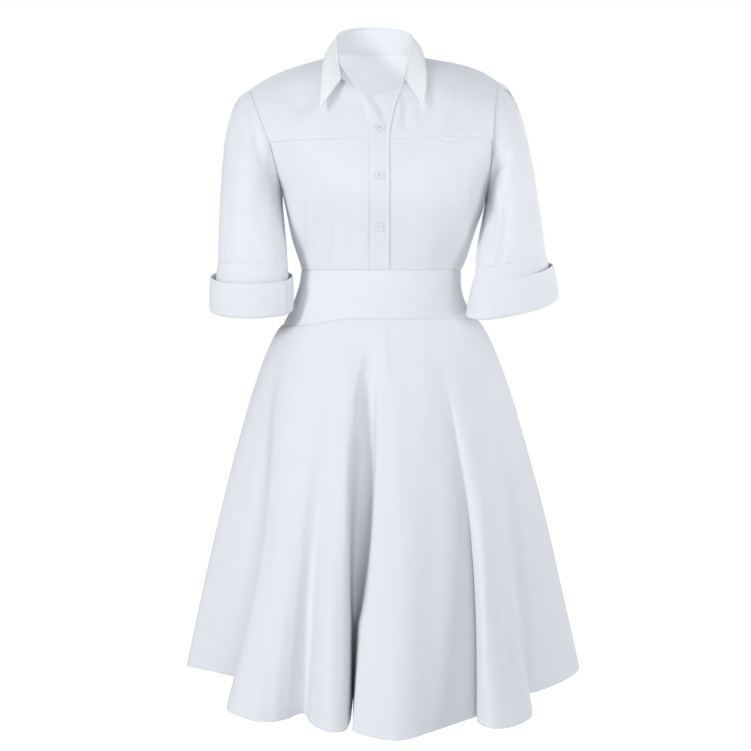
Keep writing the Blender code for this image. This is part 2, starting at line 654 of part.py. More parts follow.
def make_sleeves():
    for side, name in ((LEFT, "right"), (RIGHT, "left")):
        points, normals, out = armhole(side, np.concatenate([V_YOKE, V_ARM[1:]]), V_BACK)
        rows = np.linspace(0, 1, 13) ** SLEEVE_EASE
        grid, inward = sleeve(side, points, normals, out, rows)
        inner = grid + inward * CLOTH
        if side == RIGHT:
            grid, inner = grid[:, ::-1], inner[:, ::-1]
        add(f"sleeve_{name}", *wall(grid, inner, wrap=True), cloth(f"sleeve_{name}"))


def make_cuffs():
    angles = np.linspace(0, 360, 33)[:-1]
    for side, name in ((LEFT, "right"), (RIGHT, "left")):
        c = dict(zip(CUFF_NAMES, CUFFS[side]))
        angles_here = angles + c["crease"] % (360 / 32)
        top = np.array([c["half_top"], c["z_top"]])
        foot = np.array([c["half_foot"], c["z_foot"]])
        seam = np.array([c["half_in"], c["z_seam"]])
        starts = dict(top=top, band=(top + foot) / 2, foot=foot, inside=(seam + foot) / 2, seam=seam)
        extra = c["deep"] - c["half_foot"]
        rings = []
        for start, step_out, step_up, inner in CUFF_LOOP:
            half, level = starts[start] + (step_out, step_up)
            rings.append(cuff_ring(side, half, half + extra, level, angles_here, inner))
        loop = np.array(rings)
        verts = loop.reshape(-1, 3)
        count, cols = loop.shape[:2]
        faces = []
        for i in range(count):
            for j in range(cols):
                a, b = i * cols + j, i * cols + (j + 1) % cols
                d, e = (i + 1) % count * cols + j, (i + 1) % count * cols + (j + 1) % cols
                faces.extend([(a, d, e), (a, e, b)])
        add(f"cuff_{name}", verts, faces, cloth(f"cuff_{name}", 0.01))


def neck_loop(w):
    """The neck seam from the left front end round the back to the right front end."""
    quarter = np.asarray(w, float) * 4
    out = np.zeros((*quarter.shape, 3))
    for side, low, high, t in ((LEFT, 0, 1, quarter), (RIGHT, 3, 4, 4 - quarter)):
        here = (quarter >= low) & (quarter <= high)
        out[here] = front(side, 0.0, NECK_V * (1 - t[here]))
    for side, low, high, t in ((LEFT, 1, 2, 2 - quarter), (RIGHT, 2, 3, quarter - 2)):
        here = (quarter > low) & (quarter < high) | (quarter == 2)
        out[here] = back_neckline(side, t[here])
    return out


def collar_frame(w):
    row = through(COLLAR_ROWS, COLLAR_NAMES, w, steady=False)
    base = neck_loop(w)
    roll = stack(row["roll_x"], row["roll_y"], row["roll_z"])
    edge = stack(row["edge_x"], row["edge_y"], row["edge_z"])
    up = roll - base
    up /= np.linalg.norm(up, axis=-1, keepdims=True)
    along = np.gradient(roll, axis=0)
    out = np.cross(up, along)
    out /= np.linalg.norm(out, axis=-1, keepdims=True)
    return base, roll, edge, up, out


def make_collar():
    w = np.linspace(0, 1, 29)
    base, roll, edge, up, out = collar_frame(w)
    rows = np.linspace(0, 1, 4)[:, None, None]
    foot = base + up * SEAM_GAP
    grid = foot + (roll - foot) * rows + out * (4 * rows * (1 - rows) * STAND_BOW)
    add("collar_stand", *wall(grid, grid - out * CLOTH), cloth("stand"))
    outer = [roll + out * a + up * b for a, b in ROLL_UPPER]
    inner = [roll + out * a + up * b for a, b in ROLL_UNDER]
    fall = edge - outer[-1]
    hang = np.cross(fall, np.gradient(edge, axis=0))
    hang /= -np.linalg.norm(hang, axis=-1, keepdims=True)
    for t in (0.25, 0.5, 0.75, 1.0):
        point = outer[len(ROLL_UPPER) - 1] + fall * t + hang * (4 * t * (1 - t) * LEAF_BOW)
        outer.append(point)
        inner.append(point - hang * DOUBLED)
    add("collar_leaf", *wall(np.array(outer)[::-1], np.array(inner)[::-1]), cloth("collar", 0.005))


def make_button(number, level, strip, strip_n):
    middle = strip[:, 2]
    height = middle[:, 2]
    centre = np.array([np.interp(-level, -height, middle[:, k]) for k in range(3)])
    normal = np.array([np.interp(-level, -height, strip_n[:, 2, k]) for k in range(3)])
    normal /= np.linalg.norm(normal)
    side = np.cross((0, 0, 1), normal)
    side /= np.linalg.norm(side)
    tall = np.cross(normal, side)
    b = BUTTON
    r, thick, rim, floor = b["radius"], b["thick"], b["radius"] - b["rim"], b["thick"] - b["dish"]
    profile = [(0, 0), (r - b["under"], 0), (r, b["under"]), (r, thick - b["edge"]),
               (r - b["edge"], thick), (rim, thick), (rim - b["dish"], floor), (0, floor)]
    button = lathe(profile, 20)
    cutters = []
    for i in range(4):
        angle = np.radians(45 + 90 * i)
        spot = np.array([np.cos(angle), np.sin(angle), 0]) * b["spread"]
        verts, faces = lathe([(0, -thick), (b["hole"], -thick), (b["hole"], 2 * thick), (0, 2 * thick)], 8)
        cutters.append((verts + spot, faces))
    start = centre + normal * BUTTON_LIFT
    frame = np.array([side, tall, normal])
    obj = add(f"button_{number}", button[0] @ frame + start, button[1],
              surface(f"button_{number}_shine", (0.86, 0.86, 0.88), 0.25))
    for i, (verts, faces) in enumerate(cutters):
        cutter = add(f"hole_{number}_{i}", verts @ frame + start, faces, obj.data.materials[0])
        cutter.hide_render = True
        cut = obj.modifiers.new(f"hole_{i}", "BOOLEAN")
        cut.operation = "DIFFERENCE"
        cut.solver = "EXACT"
        cut.object = cutter


def lathe(profile, count):
    """A turned solid about +Z from (radius, height) points that start and end on the axis."""
    angles = np.linspace(0, 2 * np.pi, count, endpoint=False)
    verts = [(0, 0, profile[0][1])]
    for radius, height in profile[1:-1]:
        verts.extend((radius * np.cos(a), radius * np.sin(a), height) for a in angles)
    verts.append((0, 0, profile[-1][1]))
    last = len(verts) - 1
    rings = len(profile) - 2
    faces = []
    for j in range(count):
        k = (j + 1) % count
        faces.append((0, 1 + k, 1 + j))
        faces.append((last, 1 + (rings - 1) * count + j, 1 + (rings - 1) * count + k))
        for i in range(rings - 1):
            low, high = 1 + i * count, 1 + (i + 1) * count
            faces.append((low + j, low + k, high + k, high + j))
    return np.array(verts, float), faces


def make_pocket_lip():
    p = POCKET
    u = np.linspace(p["u0"], p["u1"], 9)
    step, gape = np.array(POCKET_ROWS).T
    v = YOKE_V + step
    grid = front(RIGHT, u[None, :], v[:, None])
    normal = grid_normals(grid)
    ends = np.sin(np.pi * (u - p["u0"]) / (p["u1"] - p["u0"])) ** 0.5
    lift = (gape[:, None] * ends[None, :])[..., None]
    outer = grid + normal * (p["thick"] + p["off"] + lift)
    inner = grid + normal * (p["off"] + lift)
    add("pocket_lip", *wall(outer, inner), cloth("pocket"))


def main():
    for obj in list(bpy.data.objects):
        bpy.data.objects.remove(obj, do_unlink=True)
    grids, normals = make_bodice()
    make_waistband()
    make_skirt()
    make_sleeves()
    make_cuffs()
    make_collar()
    make_pocket_lip()
    for number, level in enumerate(BUTTON_Z, 1):
        make_button(number, level, grids["placket"], normals["placket"])


main()
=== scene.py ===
"""Looks of the white uniform shirt dress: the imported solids' forms as thin sewn cloth, in a white studio.

Lengths are in millimetres and angles in degrees, or in pixels of the photograph's frame where a table
says so.
"""

import bpy
import numpy as np
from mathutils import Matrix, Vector


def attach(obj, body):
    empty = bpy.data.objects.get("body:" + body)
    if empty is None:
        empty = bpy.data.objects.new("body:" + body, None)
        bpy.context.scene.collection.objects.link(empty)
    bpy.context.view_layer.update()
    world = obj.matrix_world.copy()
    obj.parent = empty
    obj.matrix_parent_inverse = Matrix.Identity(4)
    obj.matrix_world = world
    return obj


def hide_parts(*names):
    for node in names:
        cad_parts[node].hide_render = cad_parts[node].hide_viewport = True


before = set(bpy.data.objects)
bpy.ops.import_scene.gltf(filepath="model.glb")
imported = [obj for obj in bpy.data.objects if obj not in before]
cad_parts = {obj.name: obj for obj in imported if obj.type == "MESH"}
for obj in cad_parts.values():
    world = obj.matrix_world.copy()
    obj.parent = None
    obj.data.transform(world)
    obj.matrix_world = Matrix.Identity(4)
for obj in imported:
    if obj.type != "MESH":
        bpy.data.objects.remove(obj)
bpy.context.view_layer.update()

MM = 0.001
CLOTH = 0.9            # wall of one layer of cloth as it shows
DOUBLED = 1.9          # wall of the folded bands, cuffs and collar
SEAM_GAP = 0.3
LEFT, RIGHT = -1, 1    # as the viewer sees them
SIDE_NAMES = {LEFT: "right", RIGHT: "left"}    # the wearer's own, as the nodes have them

# The camera, worked out from the photograph: place, tilt down and focal length in pixels of a 751 frame.
VIEW = dict(x=-9.75, y=-2100.0, z=-280.5, tilt=4.635, focal=1400.0, frame=751)

NECK_V = 0.24          # row of the front neck point
YOKE_V = 0.45          # row of the yoke seam
ARMPIT_V = 0.76        # row of the armpit
WAIST_Z = -292.0       # seam of bodice and waistband

# Steps of the grids: finer ones near every border, in mm, and rows that are added near seams and hem.
FINE_STEPS = (0.7, 1.5, 2.6, 4.2)
WAIST_FINE = [0.975, 0.988, 0.994]
HEM_FINE = [0.975, 0.98, 0.985, 0.9875]
SLEEVE_FINE = [0.004, 0.009, 0.985, 0.993]
SLEEVE_EASE = 1.1      # above 1 the rows lie closer at the armhole
ALL_SIDES = ("top", "foot", "first", "last")

# The same tables as the solids. One row per level of a panel, from the shoulder seam to the waist seam:
# inner end, outer end, heading at the outer end, fullness of the arc.
FRONT_NAMES = "v x_in y_in z_in x_out y_out z_out turn push".split()
FRONT_ROWS = {
    LEFT: [
        (0.00, -69, 2, 25.5, -196, 5, -25, 0, 1.00),
        (0.12, -59, -40, 0.5, -189, -18, -42, 22, 1.00),
        (0.24, -37, -72, -35, -180, -38, -63.5, 38, 1.00),
        (0.36, -24, -96, -75, -171, -52, -87, 48, 1.03),
        (0.45, -18.5, -111, -106, -163, -56, -109.5, 55, 1.06),
        (0.60, -18.5, -129, -144, -154, -44, -145, 66, 1.10),
        (0.70, -18.5, -134, -169.5, -149, -20, -171.5, 80, 1.15),
        (0.76, -18.5, -132, -187, -147, 0, -183, 90, 1.18),
        (0.88, -18.5, -116, -232, -136, 0, -228, 90, 1.18),
        (1.00, -18.5, -95, -292, -120, 0, -292, 90, 1.18),
    ],
    RIGHT: [
        (0.00, 47, 2, 25.5, 172, 5, -14, 0, 1.00),
        (0.12, 40, -40, 1.5, 168, -18, -34, 22, 1.00),
        (0.24, 29, -70, -28, 165, -38, -55.5, 38, 1.00),
        (0.36, 15, -94, -73, 162, -52, -83, 48, 1.03),
        (0.45, 9.5, -111, -106, 160, -56, -107, 55, 1.06),
        (0.60, 9.5, -129, -144, 158, -44, -145, 66, 1.10),
        (0.70, 9.5, -134, -169.5, 155.5, -20, -173.5, 80, 1.15),
        (0.76, 9.5, -132, -187, 154, 0, -187, 90, 1.18),
        (0.88, 9.5, -116, -232, 141, 0, -230, 90, 1.18),
        (1.00, 9.5, -95, -292, 118, 0, -292, 90, 1.18),
    ],
}
BACK_ROWS = {
    LEFT: [
        (0.00, -12, 60, 34, -196, 5, -25, 0, 1.00),
        (0.12, -11, 76, -3, -189, 30, -42, 24, 1.00),
        (0.24, -10, 86, -39, -180, 50, -63.5, 40, 1.00),
        (0.45, -7, 95, -102, -164, 60, -109.5, 56, 1.06),
        (0.60, -6, 97, -146, -154, 45, -145, 68, 1.10),
        (0.70, -5, 95, -173, -149, 20, -171.5, 80, 1.15),
        (0.76, -5, 93, -190, -147, 0, -183, 90, 1.18),
        (0.88, -4, 85, -236, -136, 0, -228, 90, 1.18),
        (1.00, -2, 80, -292, -120, 0, -292, 90, 1.18),
    ],
    RIGHT: [
        (0.00, -12, 60, 34, 172, 5, -14, 0, 1.00),
        (0.12, -11, 76, -3, 169, 30, -34, 24, 1.00),
        (0.24, -10, 86, -39, 166, 50, -55.5, 40, 1.00),
        (0.45, -7, 95, -102, 161, 60, -107, 56, 1.06),
        (0.60, -6, 97, -146, 158, 45, -145, 68, 1.10),
        (0.70, -5, 95, -173, 155.5, 20, -173.5, 80, 1.15),
        (0.76, -5, 93, -190, 154, 0, -187, 90, 1.18),
        (0.88, -4, 85, -236, 141, 0, -230, 90, 1.18),
        (1.00, -2, 80, -292, 118, 0, -292, 90, 1.18),
    ],
}
PANEL_FALL = (0.7, 1.3)            # how much of a panel's fall comes at its inner and at its outer end
SHOULDER_SLOPE = (-0.34, -0.75)    # of the shoulder seam at the neck and at the armhole
NECK_SHARE = 0.36                  # share of the back's top edge that is neckline
NECK_ROUND = (1.35, 1.45)          # fullness of the back neckline at the centre and at the shoulder
NECK_RISE = 16.0                   # how steeply the back neckline comes up to the shoulder seam
BACK_TOP_FADE = 0.42               # how far down the back the neckline's shape reaches
WAIST_FADE = 0.84                  # row from which the panels close onto the waistband
WAIST_LEVEL = 40.0                 # height above the waist over which the wall's edges turn level

ARM_STEP = 0.97                    # u from which a panel's slope at the armhole is taken

# The placket strip: lift of its two layers, stand-off of the free edge, its width and the run at the foot
# over which it closes, row where the strip starts to open, forward bow of its middle when closed and when
# open, drop of the open middle.
OVER_LIFT = 0.6
UNDER_LIFT = -2.0
FREE_EDGE, FREE_WIDTH, FREE_FOOT = 1.1, 2.6, 8.0
OPEN_V = 0.42
STRIP_BOW = (0.4, 5.0)
STRIP_DROP = 9.0

# Sections of the waistband and the skirt's top: level, and reach to the left, right, front and back.
BAND_NAMES = "z left right front back".split()
BAND_ROWS = [
    (-292, -120, 118, -95, 80),
    (-312, -123, 118, -101, 88),
    (-330, -128.5, 121, -106, 95),
    (-350, -136, 130, -112, 102),
    (-372, -147, 145, -120, 112),
]
BAND_DROP = [(-180, -366), (-90, -374), (-50, -372), (-15, -360), (20, -360), (90, -364), (180, -366)]

# One row per skirt fold line: angle at the waist, the hem point it falls to, the hem's extra drop, the
# share of the length at which the fold starts, and how far the line bows to the viewer's right.
FOLD_NAMES = "turn x y drop start bow".split()
FOLD_ROWS = [
    (-90, -299, 0, 0, 0.05, 0),
    (-79, -275, -24, 0, 0.12, 4),
    (-70, -243, -46, 0, 0.14, 14),
    (-63, -209, -74, 4, 0.14, 24),
    (-56, -219, -182, 8, 0.12, 22),
    (-49, -188, -222, 11, 0.12, 15),
    (-39, -156, -231, 13, 0.10, 7),
    (-28, -132, -221, 12, 0.10, -1),
    (-20.5, -107, -205, 11, 0.10, -4),
    (-17, -97, -236, 14, 0.10, -5),
    (-14.2, -72, -263, 16, 0.10, -6),
    (-12, -51, -257, 16, 0.09, -8),
    (-10, -45, -236, 13, 0.08, -8),
    (-6, -42, -134, 8, 0.06, -5),
    (-0.5, -41, -238, 14, 0.03, -3),
    (4, -38, -265, 15, 0.02, -3),
    (10, 17, -291, 18, 0.02, 6),
    (16, 66, -264, 15, 0.04, 22),
    (20.5, 95, -238, 14, 0.06, 22),
    (24.5, 122, -212, 14, 0.08, 15),
    (27.5, 136, -200, 14, 0.08, 11),
    (29.5, 129, -222, 13, 0.08, 10),
    (33, 137, -248, 13, 0.08, 8),
    (39, 164, -254, 14, 0.08, 2),
    (46, 202, -222, 11, 0.08, -8),
    (51, 210, -186, 9, 0.09, -9),
    (59, 204, -134, 6, 0.12, -4),
    (68, 226, -118, 5, 0.12, 0),
    (78, 270, -74, 2, 0.10, 0),
    (90, 302, 0, 2, 0.05, 0),
    (104, 252, 88, 0, 0.15, 0),
    (116, 236, 182, 2, 0.10, 0),
    (128, 170, 206, 2, 0.12, 6),
    (140, 134, 156, 2, 0.12, 4),
    (152, 118, 250, 4, 0.10, -4),
    (164, 60, 262, 4, 0.10, -8),
    (176, 12, 178, 2, 0.12, -4),
    (188, -34, 262, 4, 0.10, 4),
    (200, -98, 258, 4, 0.10, 8),
    (211, -128, 158, 2, 0.12, 6),
    (224, -178, 216, 2, 0.12, 0),
    (238, -236, 176, 2, 0.10, 0),
    (254, -246, 86, 0, 0.12, 0),
]
HEM_Z = -895.0
HEM_SPAN = dict(left=-287.0, right=294.0, front=-226.0, back=226.0)
BOW_LATE = 1.2         # above 1 the bows of the fold lines lie lower than halfway
SKIRT_FLARE = 0.68     # below 1 the skirt springs out near the waist
FOLD_GROWTH = 1.25     # above 1 the folds deepen late
SKIRT_LEVEL = 6.0      # the wall's top edge turns level over one sixth of the length

# Turned-up cuffs: centres of the ring and of the sleeve's end, half spans of that end, of the band's top
# and of its foot, depth, levels, slopes, the pressed crease, the turn in plan and the sleeve's lean.
CUFF_NAMES = ("x y x_in half_in half_top half_foot deep z_seam z_top z_foot"
              " roll pitch crease swing lean").split()
CUFFS = {
    LEFT: (-191.5, -48, -189, 51.5, 61.5, 63, 54, -275, -301, -350.5, 0.02, 0.20, 70, -20, 0),
    RIGHT: (190, -58, 187, 53, 61, 71, 53, -275, -296, -346, 0.17, 0.19, -48, 22, 0.12),
}
CUFFS = {side: dict(zip(CUFF_NAMES, row)) for side, row in CUFFS.items()}
CREASE_REACH = 0.07    # how far the pressed crease sticks out, as a share of the radius
CREASE_WIDTH = 14.0    # degrees over which it dies away
CUFF_FOLD = (3.2, 4.2)             # half width and height of the fold at the foot
CUFF_BOW = 0.8                     # outward bow of the band

# How the sleeve leaves the armhole, by share of the armhole down the front and up the back: turn against
# the bodice's cloth, pull at the armhole and at the cuff.
SLEEVE_SPRING = {LEFT: 1.0, RIGHT: 0.84}
SLEEVE_NAMES = "share turn leave arrive".split()
SLEEVE_ROWS = [
    (0.00, 14, 150, 250),
    (0.12, 30, 120, 230),
    (0.27, 60, 85, 190),
    (0.40, 110, 60, 120),
    (0.50, 155, 45, 60),
    (0.60, 110, 60, 120),
    (0.73, 60, 85, 190),
    (0.88, 30, 120, 230),
    (1.00, 14, 150, 250),
]

# Collar, from the left front end round the back to the right one: its folded top and the leaf's edge.
COLLAR_NAMES = "w roll_x roll_y roll_z edge_x edge_y edge_z".split()
COLLAR_ROWS = [
    (0.00, -59, -68, -18, -88, -96, -64),
    (0.10, -63, -42, 5, -88, -69, -29),
    (0.20, -66, -10, 32, -86, -22, 14),
    (0.30, -66, 22, 55, -77, 30, 37),
    (0.40, -46, 47, 68, -54, 64, 37),
    (0.50, -12, 57, 72, -12, 78, 37),
    (0.60, 22, 47, 68, 30, 64, 37),
    (0.70, 43, 22, 55, 56, 30, 37),
    (0.80, 42, -10, 32, 62, -23, 17),
    (0.90, 37, -42, 5, 63, -70, -25),
    (1.00, 31, -68, -17, 57, -97, -62),
]
STAND_BOW = 0.75       # outward bow of the stand
LEAF_BOW = 2.5         # outward bow of the leaf
LEAF_ROUND = 1.2       # width over which the leaf's borders round off

# The leaf's middle where it folds over the stand: steps outward and up.
ROLL_STEPS = [(-0.8, 1.3), (0.2, 1.35), (1.4, 0.9), (1.75, -0.6)]

BUTTON_Z = (-92.5, -160.0, -231.0)
BUTTON = dict(radius=6.6, thick=2.4, rim=1.1, dish=1.0, hole=0.9, spread=1.65)
BUTTON_LIFT = 1.0      # over the placket strip's own points

# The pocket's lip: its span in u and v from the yoke seam, stand-off, thickness, gape at the top and foot.
POCKET = dict(u0=0.44, u1=0.80, v0=-0.002, v1=0.016, off=0.35, thick=1.2, gape=2.6, low=0.3)

# Seams and thread. A stitch is given by steps along it, as shares of its length, and shares of its radius.
SEAM_DIP = 0.4                     # of the cloth where it is sewn to the next piece
HEM_STITCH, HEM_DIP = 8.0, 0.35    # distance of the stitches from the hem, and dip of the cloth there
LEAF_STITCH, LEAF_DIP = 6.0, 0.18  # the same for the collar's leaf
STITCH_ENDS = [(-0.5, 0.25), (-0.36, 1.0), (0.36, 1.0), (0.5, 0.25)]
STITCH_LIFT = 0.065                # of a stitch's middle over the cloth
THREAD_RADIUS = 0.17
THREAD_DIP, THREAD_ARCH = 0.9, 1.25    # how far a button's thread starts below the dish, and its arch

# Ease of the flat sheets over their measured run, as a factor.
SHEET_EASE = 1.002
CUFF_EASE = 1.01

HEAD_REACH = 0.16      # share of the armhole over which the folds of the sleeve head die away
GATHER_REACH = (14.0, 16.0)        # how far small folds reach from the armhole and from the cuff seam

# Small folds round a tube: waves in a turn, phase, shift by side, height.
HEAD_WAVES = [(21, 0.0, 1.0, 0.7), (34, 1.3, 0.0, 0.4)]
SLEEVE_FOOT_WAVES = [(13, 0.0, 0.8, 0.8), (22, 2.1, 0.0, 0.5)]
CUFF_WAVES = [(3, 0.6, 1.0, 0.8), (5, 2.0, 0.0, 0.5)]

# Colours of the cloth and of the collar's leaf, which is painted brighter than the same cloth elsewhere as
# painted light for the extra light it catches facing up, and the scale of yarns 0.45 mm apart.
WHITE = (0.80, 0.82, 0.86)
COLLAR_PAINTED_BRIGHT = (0.93, 0.945, 0.965)
YARN_SCALE = 314.16 / 0.45

# Lamps: place, aim and width in metres, watts. The last one only lifts the inside of the neck.
LAMPS = [
    ("key", (-2.2, -1.8, 0.5), (0, 0, -0.45), 0.8, 34),
    ("front", (0.2, -2.3, -0.5), (0, 0, -0.5), 0.8, 11),
    ("side_right", (2.4, 0.3, -0.5), (0, 0, -0.45), 1.2, 17),
    ("chest", (1.9, -1.5, 0.1), (0.1, -0.05, -0.14), 0.6, 0.32),
    ("inside", (-0.012, 0.0, -0.09), (-0.012, 0.07, -0.01), 0.05, 0.078),
]
CHEST_SPREAD = 26.0    # degrees
FLOOR_HALF, FLOOR_Z = 9000.0, -1500.0

CREASE_END = 0.05      # share of a crease's fade that lies beyond each of its ends
CREASE_FULL = 0.7      # below 1 a crease keeps its height for longer before it fades

# Creases listed in pixels of the photograph: height in mm (below 0 a trough), half width in pixels, path.
FRONT_CREASES = [
    # under the leaves of the collar
    (-3.0, 9.0, [(352, 92), (342, 102), (332, 114)]),
    (-2.6, 7.0, [(403, 92), (410, 102), (416, 114)]),
    # diagonal fold of the open placket down to the top button
    (2.2, 4.2, [(361, 92), (370, 107), (380, 122)]),
    (-1.8, 2.6, [(355, 97), (363, 112), (373, 126)]),
    (-1.6, 4.0, [(373, 96), (380, 108), (386, 122)]),
    (1.2, 2.6, [(391, 92), (389, 104), (386, 114)]),
    # right yoke
    (1.4, 3.0, [(399, 98), (399, 108), (398, 118)]),
    (-3.0, 3.2, [(406, 97), (406, 112), (404, 128)]),
    (2.6, 4.2, [(414, 104), (416, 116), (415, 128)]),
    (3.0, 6.0, [(453, 94), (447, 112), (439, 136)]),
    (-4.4, 9.0, [(463, 108), (463, 124), (462, 138)]),
    (-3.4, 1.8, [(444, 135), (464, 135.6), (484, 137)]),
    (1.8, 6.0, [(476, 96), (484, 114), (489, 132)]),
    (1.2, 10.0, [(436, 62), (462, 76), (486, 88)]),
    # left yoke
    (2.2, 9.0, [(318, 108), (302, 122), (288, 135)]),
    (-2.6, 10.0, [(286, 84), (296, 104), (290, 126)]),
    (1.6, 7.0, [(262, 98), (270, 114), (276, 132)]),
    (-1.8, 9.0, [(312, 84), (306, 98), (298, 112)]),
    # left front
    (2.8, 4.0, [(312, 200), (310, 232), (309, 267)]),
    (-2.6, 3.2, [(318, 212), (318, 240), (317, 267)]),
    (2.2, 3.2, [(325, 222), (325, 250), (324, 268)]),
    (-2.0, 3.2, [(332, 214), (333, 244), (332, 268)]),
    (1.4, 3.4, [(341, 224), (341, 246), (340, 268)]),
    (-2.6, 4.5, [(300, 172), (301, 210), (303, 264)]),
    (-1.8, 8.0, [(352, 186), (348, 220), (350, 258)]),
    (2.0, 12.0, [(330, 148), (333, 172), (330, 200)]),
    (2.8, 5.0, [(291, 196), (294, 230), (297, 264)]),
    (-1.6, 10.0, [(286, 150), (294, 160), (306, 166)]),
    # right front
    (-1.6, 1.6, [(457, 162), (457, 192), (456, 216)]),
    (1.6, 4.0, [(451, 168), (450, 200), (449, 226)]),
    (2.2, 5.0, [(466, 174), (468, 206), (464, 238)]),
    (-3.0, 4.0, [(459, 224), (457, 248), (452, 268)]),
    (2.6, 4.0, [(467, 230), (465, 250), (461, 268)]),
    (-2.2, 4.0, [(442, 230), (440, 250), (438, 269)]),
    (1.8, 5.0, [(431, 226), (429, 248), (428, 269)]),
    (-1.6, 10.0, [(404, 190), (402, 226), (404, 264)]),
    (1.8, 10.0, [(424, 164), (422, 206), (424, 244)]),
    (-2.2, 8.0, [(480, 150), (474, 172), (470, 196)]),
]
BAND_CREASES = [
    (-1.3, 3.2, [(322, 284), (352, 289), (384, 287)]),
    (1.4, 4.0, [(330, 299), (372, 303), (410, 299)]),
    (-1.5, 3.5, [(400, 309), (428, 304), (456, 306)]),
    (1.1, 4.0, [(402, 284), (430, 281), (456, 284)]),
]
SKIRT_CREASES = [
    (2.4, 4.5, [(383, 326), (385, 350), (387, 382)]),
    (-3.0, 9.0, [(368, 338), (370, 372), (367, 425)]),
    (2.0, 10.0, [(418, 332), (424, 380), (430, 440)]),
    (-2.2, 9.0, [(404, 352), (408, 430), (411, 520)]),
    (-3.0, 13.0, [(426, 460), (432, 540), (430, 620), (424, 716)]),
    (2.2, 8.0, [(346, 330), (344, 370), (340, 430)]),
    (-2.4, 8.0, [(318, 336), (306, 380), (300, 430)]),
    (1.8, 10.0, [(286, 372), (276, 430), (270, 480)]),
    (-2.2, 9.0, [(262, 400), (246, 460), (236, 520)]),
    (-2.4, 9.0, [(276, 560), (268, 620), (262, 700)]),
    (-2.0, 7.0, [(316, 590), (312, 640), (312, 712)]),
    (2.2, 8.0, [(470, 338), (482, 380), (494, 430)]),
    (-2.4, 8.0, [(488, 350), (508, 410), (528, 480)]),
    (-7.0, 8.0, [(501, 466), (508, 560), (513, 700)]),
    (3.4, 5.5, [(481, 450), (484, 560), (486, 700)]),
    (4.4, 4.6, [(346, 440), (346, 560), (347, 700)]),
    (-12.0, 7.6, [(366, 384), (366, 450), (363, 520), (358, 610)]),
    (-2.0, 10.0, [(548, 560), (556, 610), (560, 660)]),
]
# Sleeves, as seen; the same ones mirrored serve the hidden side.
SLEEVE_CREASES = {
    LEFT: [
        (-1.8, 1.6, [(250, 92), (243, 96), (237, 103), (234, 110)]),
        (-4.2, 4.5, [(252, 112), (257, 142), (268, 178)]),
        (3.0, 6.5, [(242, 118), (245, 160), (242, 214)]),
        (-1.8, 6.0, [(272, 150), (266, 184), (258, 214)]),
        (1.6, 6.0, [(272, 200), (270, 232), (273, 258)]),
        (-3.0, 5.0, [(248, 232), (254, 250), (264, 262)]),
        (-2.2, 7.0, [(226, 150), (224, 190), (228, 232)]),
        (1.6, 6.0, [(232, 196), (236, 232), (234, 258)]),
    ],
    RIGHT: [
        (-1.6, 1.6, [(499, 84), (507, 89), (514, 97)]),
        (2.6, 4.0, [(507, 142), (498, 152), (490, 164)]),
        (-5.0, 3.6, [(512, 148), (501, 163), (489, 180)]),
        (2.8, 5.0, [(518, 150), (508, 176), (498, 204)]),
        (-3.4, 4.0, [(490, 196), (494, 222), (489, 254)]),
        (2.6, 3.6, [(500, 192), (499, 222), (495, 256)]),
        (-3.0, 4.0, [(508, 184), (506, 222), (502, 262)]),
        (2.2, 5.0, [(518, 176), (516, 216), (512, 258)]),
        (-1.6, 6.0, [(523, 172), (524, 204), (528, 244)]),
    ],
}
SLEEVE_MIDDLE = {LEFT: 250.0, RIGHT: 512.0}
CUFF_CREASES = {
    LEFT: [
        (-1.2, 3.0, [(222, 296), (240, 300), (262, 299)]),
        (1.0, 4.0, [(226, 308), (246, 311), (270, 308)]),
        (-1.0, 6.0, [(262, 288), (266, 300), (264, 314)]),
        (1.2, 1.4, [(284, 282), (284.5, 300), (284, 317)]),
        (-4.5, 2.8, [(289, 282), (289.5, 300), (289, 317)]),
    ],
    RIGHT: [
        (-1.2, 3.5, [(500, 300), (522, 296), (544, 288)]),
        (1.0, 4.0, [(498, 310), (520, 306), (548, 297)]),
        (-1.0, 6.0, [(530, 280), (528, 292), (530, 306)]),
    ],
}

# Creases on the back, in mm to the right and up: long soft folds, and small ones above the waist.
BACK_CREASES = [
    (-1.6, 14, [(-92, -70), (-84, -130), (-70, -200)]),
    (1.4, 12, [(-60, -80), (-52, -150), (-46, -230)]),
    (-1.5, 14, [(84, -64), (76, -128), (62, -196)]),
    (1.3, 12, [(52, -90), (44, -160), (38, -236)]),
    (-1.8, 5, [(-44, -236), (-42, -262), (-41, -290)]),
    (1.6, 5, [(-34, -232), (-33, -262), (-32, -290)]),
    (-1.6, 5, [(40, -240), (38, -264), (37, -290)]),
    (1.4, 5, [(31, -238), (30, -264), (29, -290)]),
    (-1.2, 9, [(-120, -150), (-104, -190), (-92, -250)]),
    (-1.2, 9, [(116, -150), (102, -192), (92, -250)]),
    (1.2, 12, [(-6, -60), (-4, -120), (-5, -170)]),
]


def unit(vectors):
    return vectors / np.linalg.norm(vectors, axis=-1, keepdims=True)


def clamp(values):
    return np.clip(values, 0, 1)


def bell(gap, width):
    return np.exp(-((gap / width) ** 2))


def paired(*fields):
    return np.broadcast_arrays(*(np.asarray(field, float) for field in fields))


def stack(*parts):
    return np.stack(np.broadcast_arrays(*parts), axis=-1)


def hermite(start, end, leave, arrive, t):
    """A cubic between two points with its directions there; t may be an array."""
    t = np.asarray(t, float)[..., None]
    return ((2 * t**3 - 3 * t**2 + 1) * start + (t**3 - 2 * t**2 + t) * leave
            + (3 * t**2 - 2 * t**3) * end + (t**3 - t**2) * arrive)


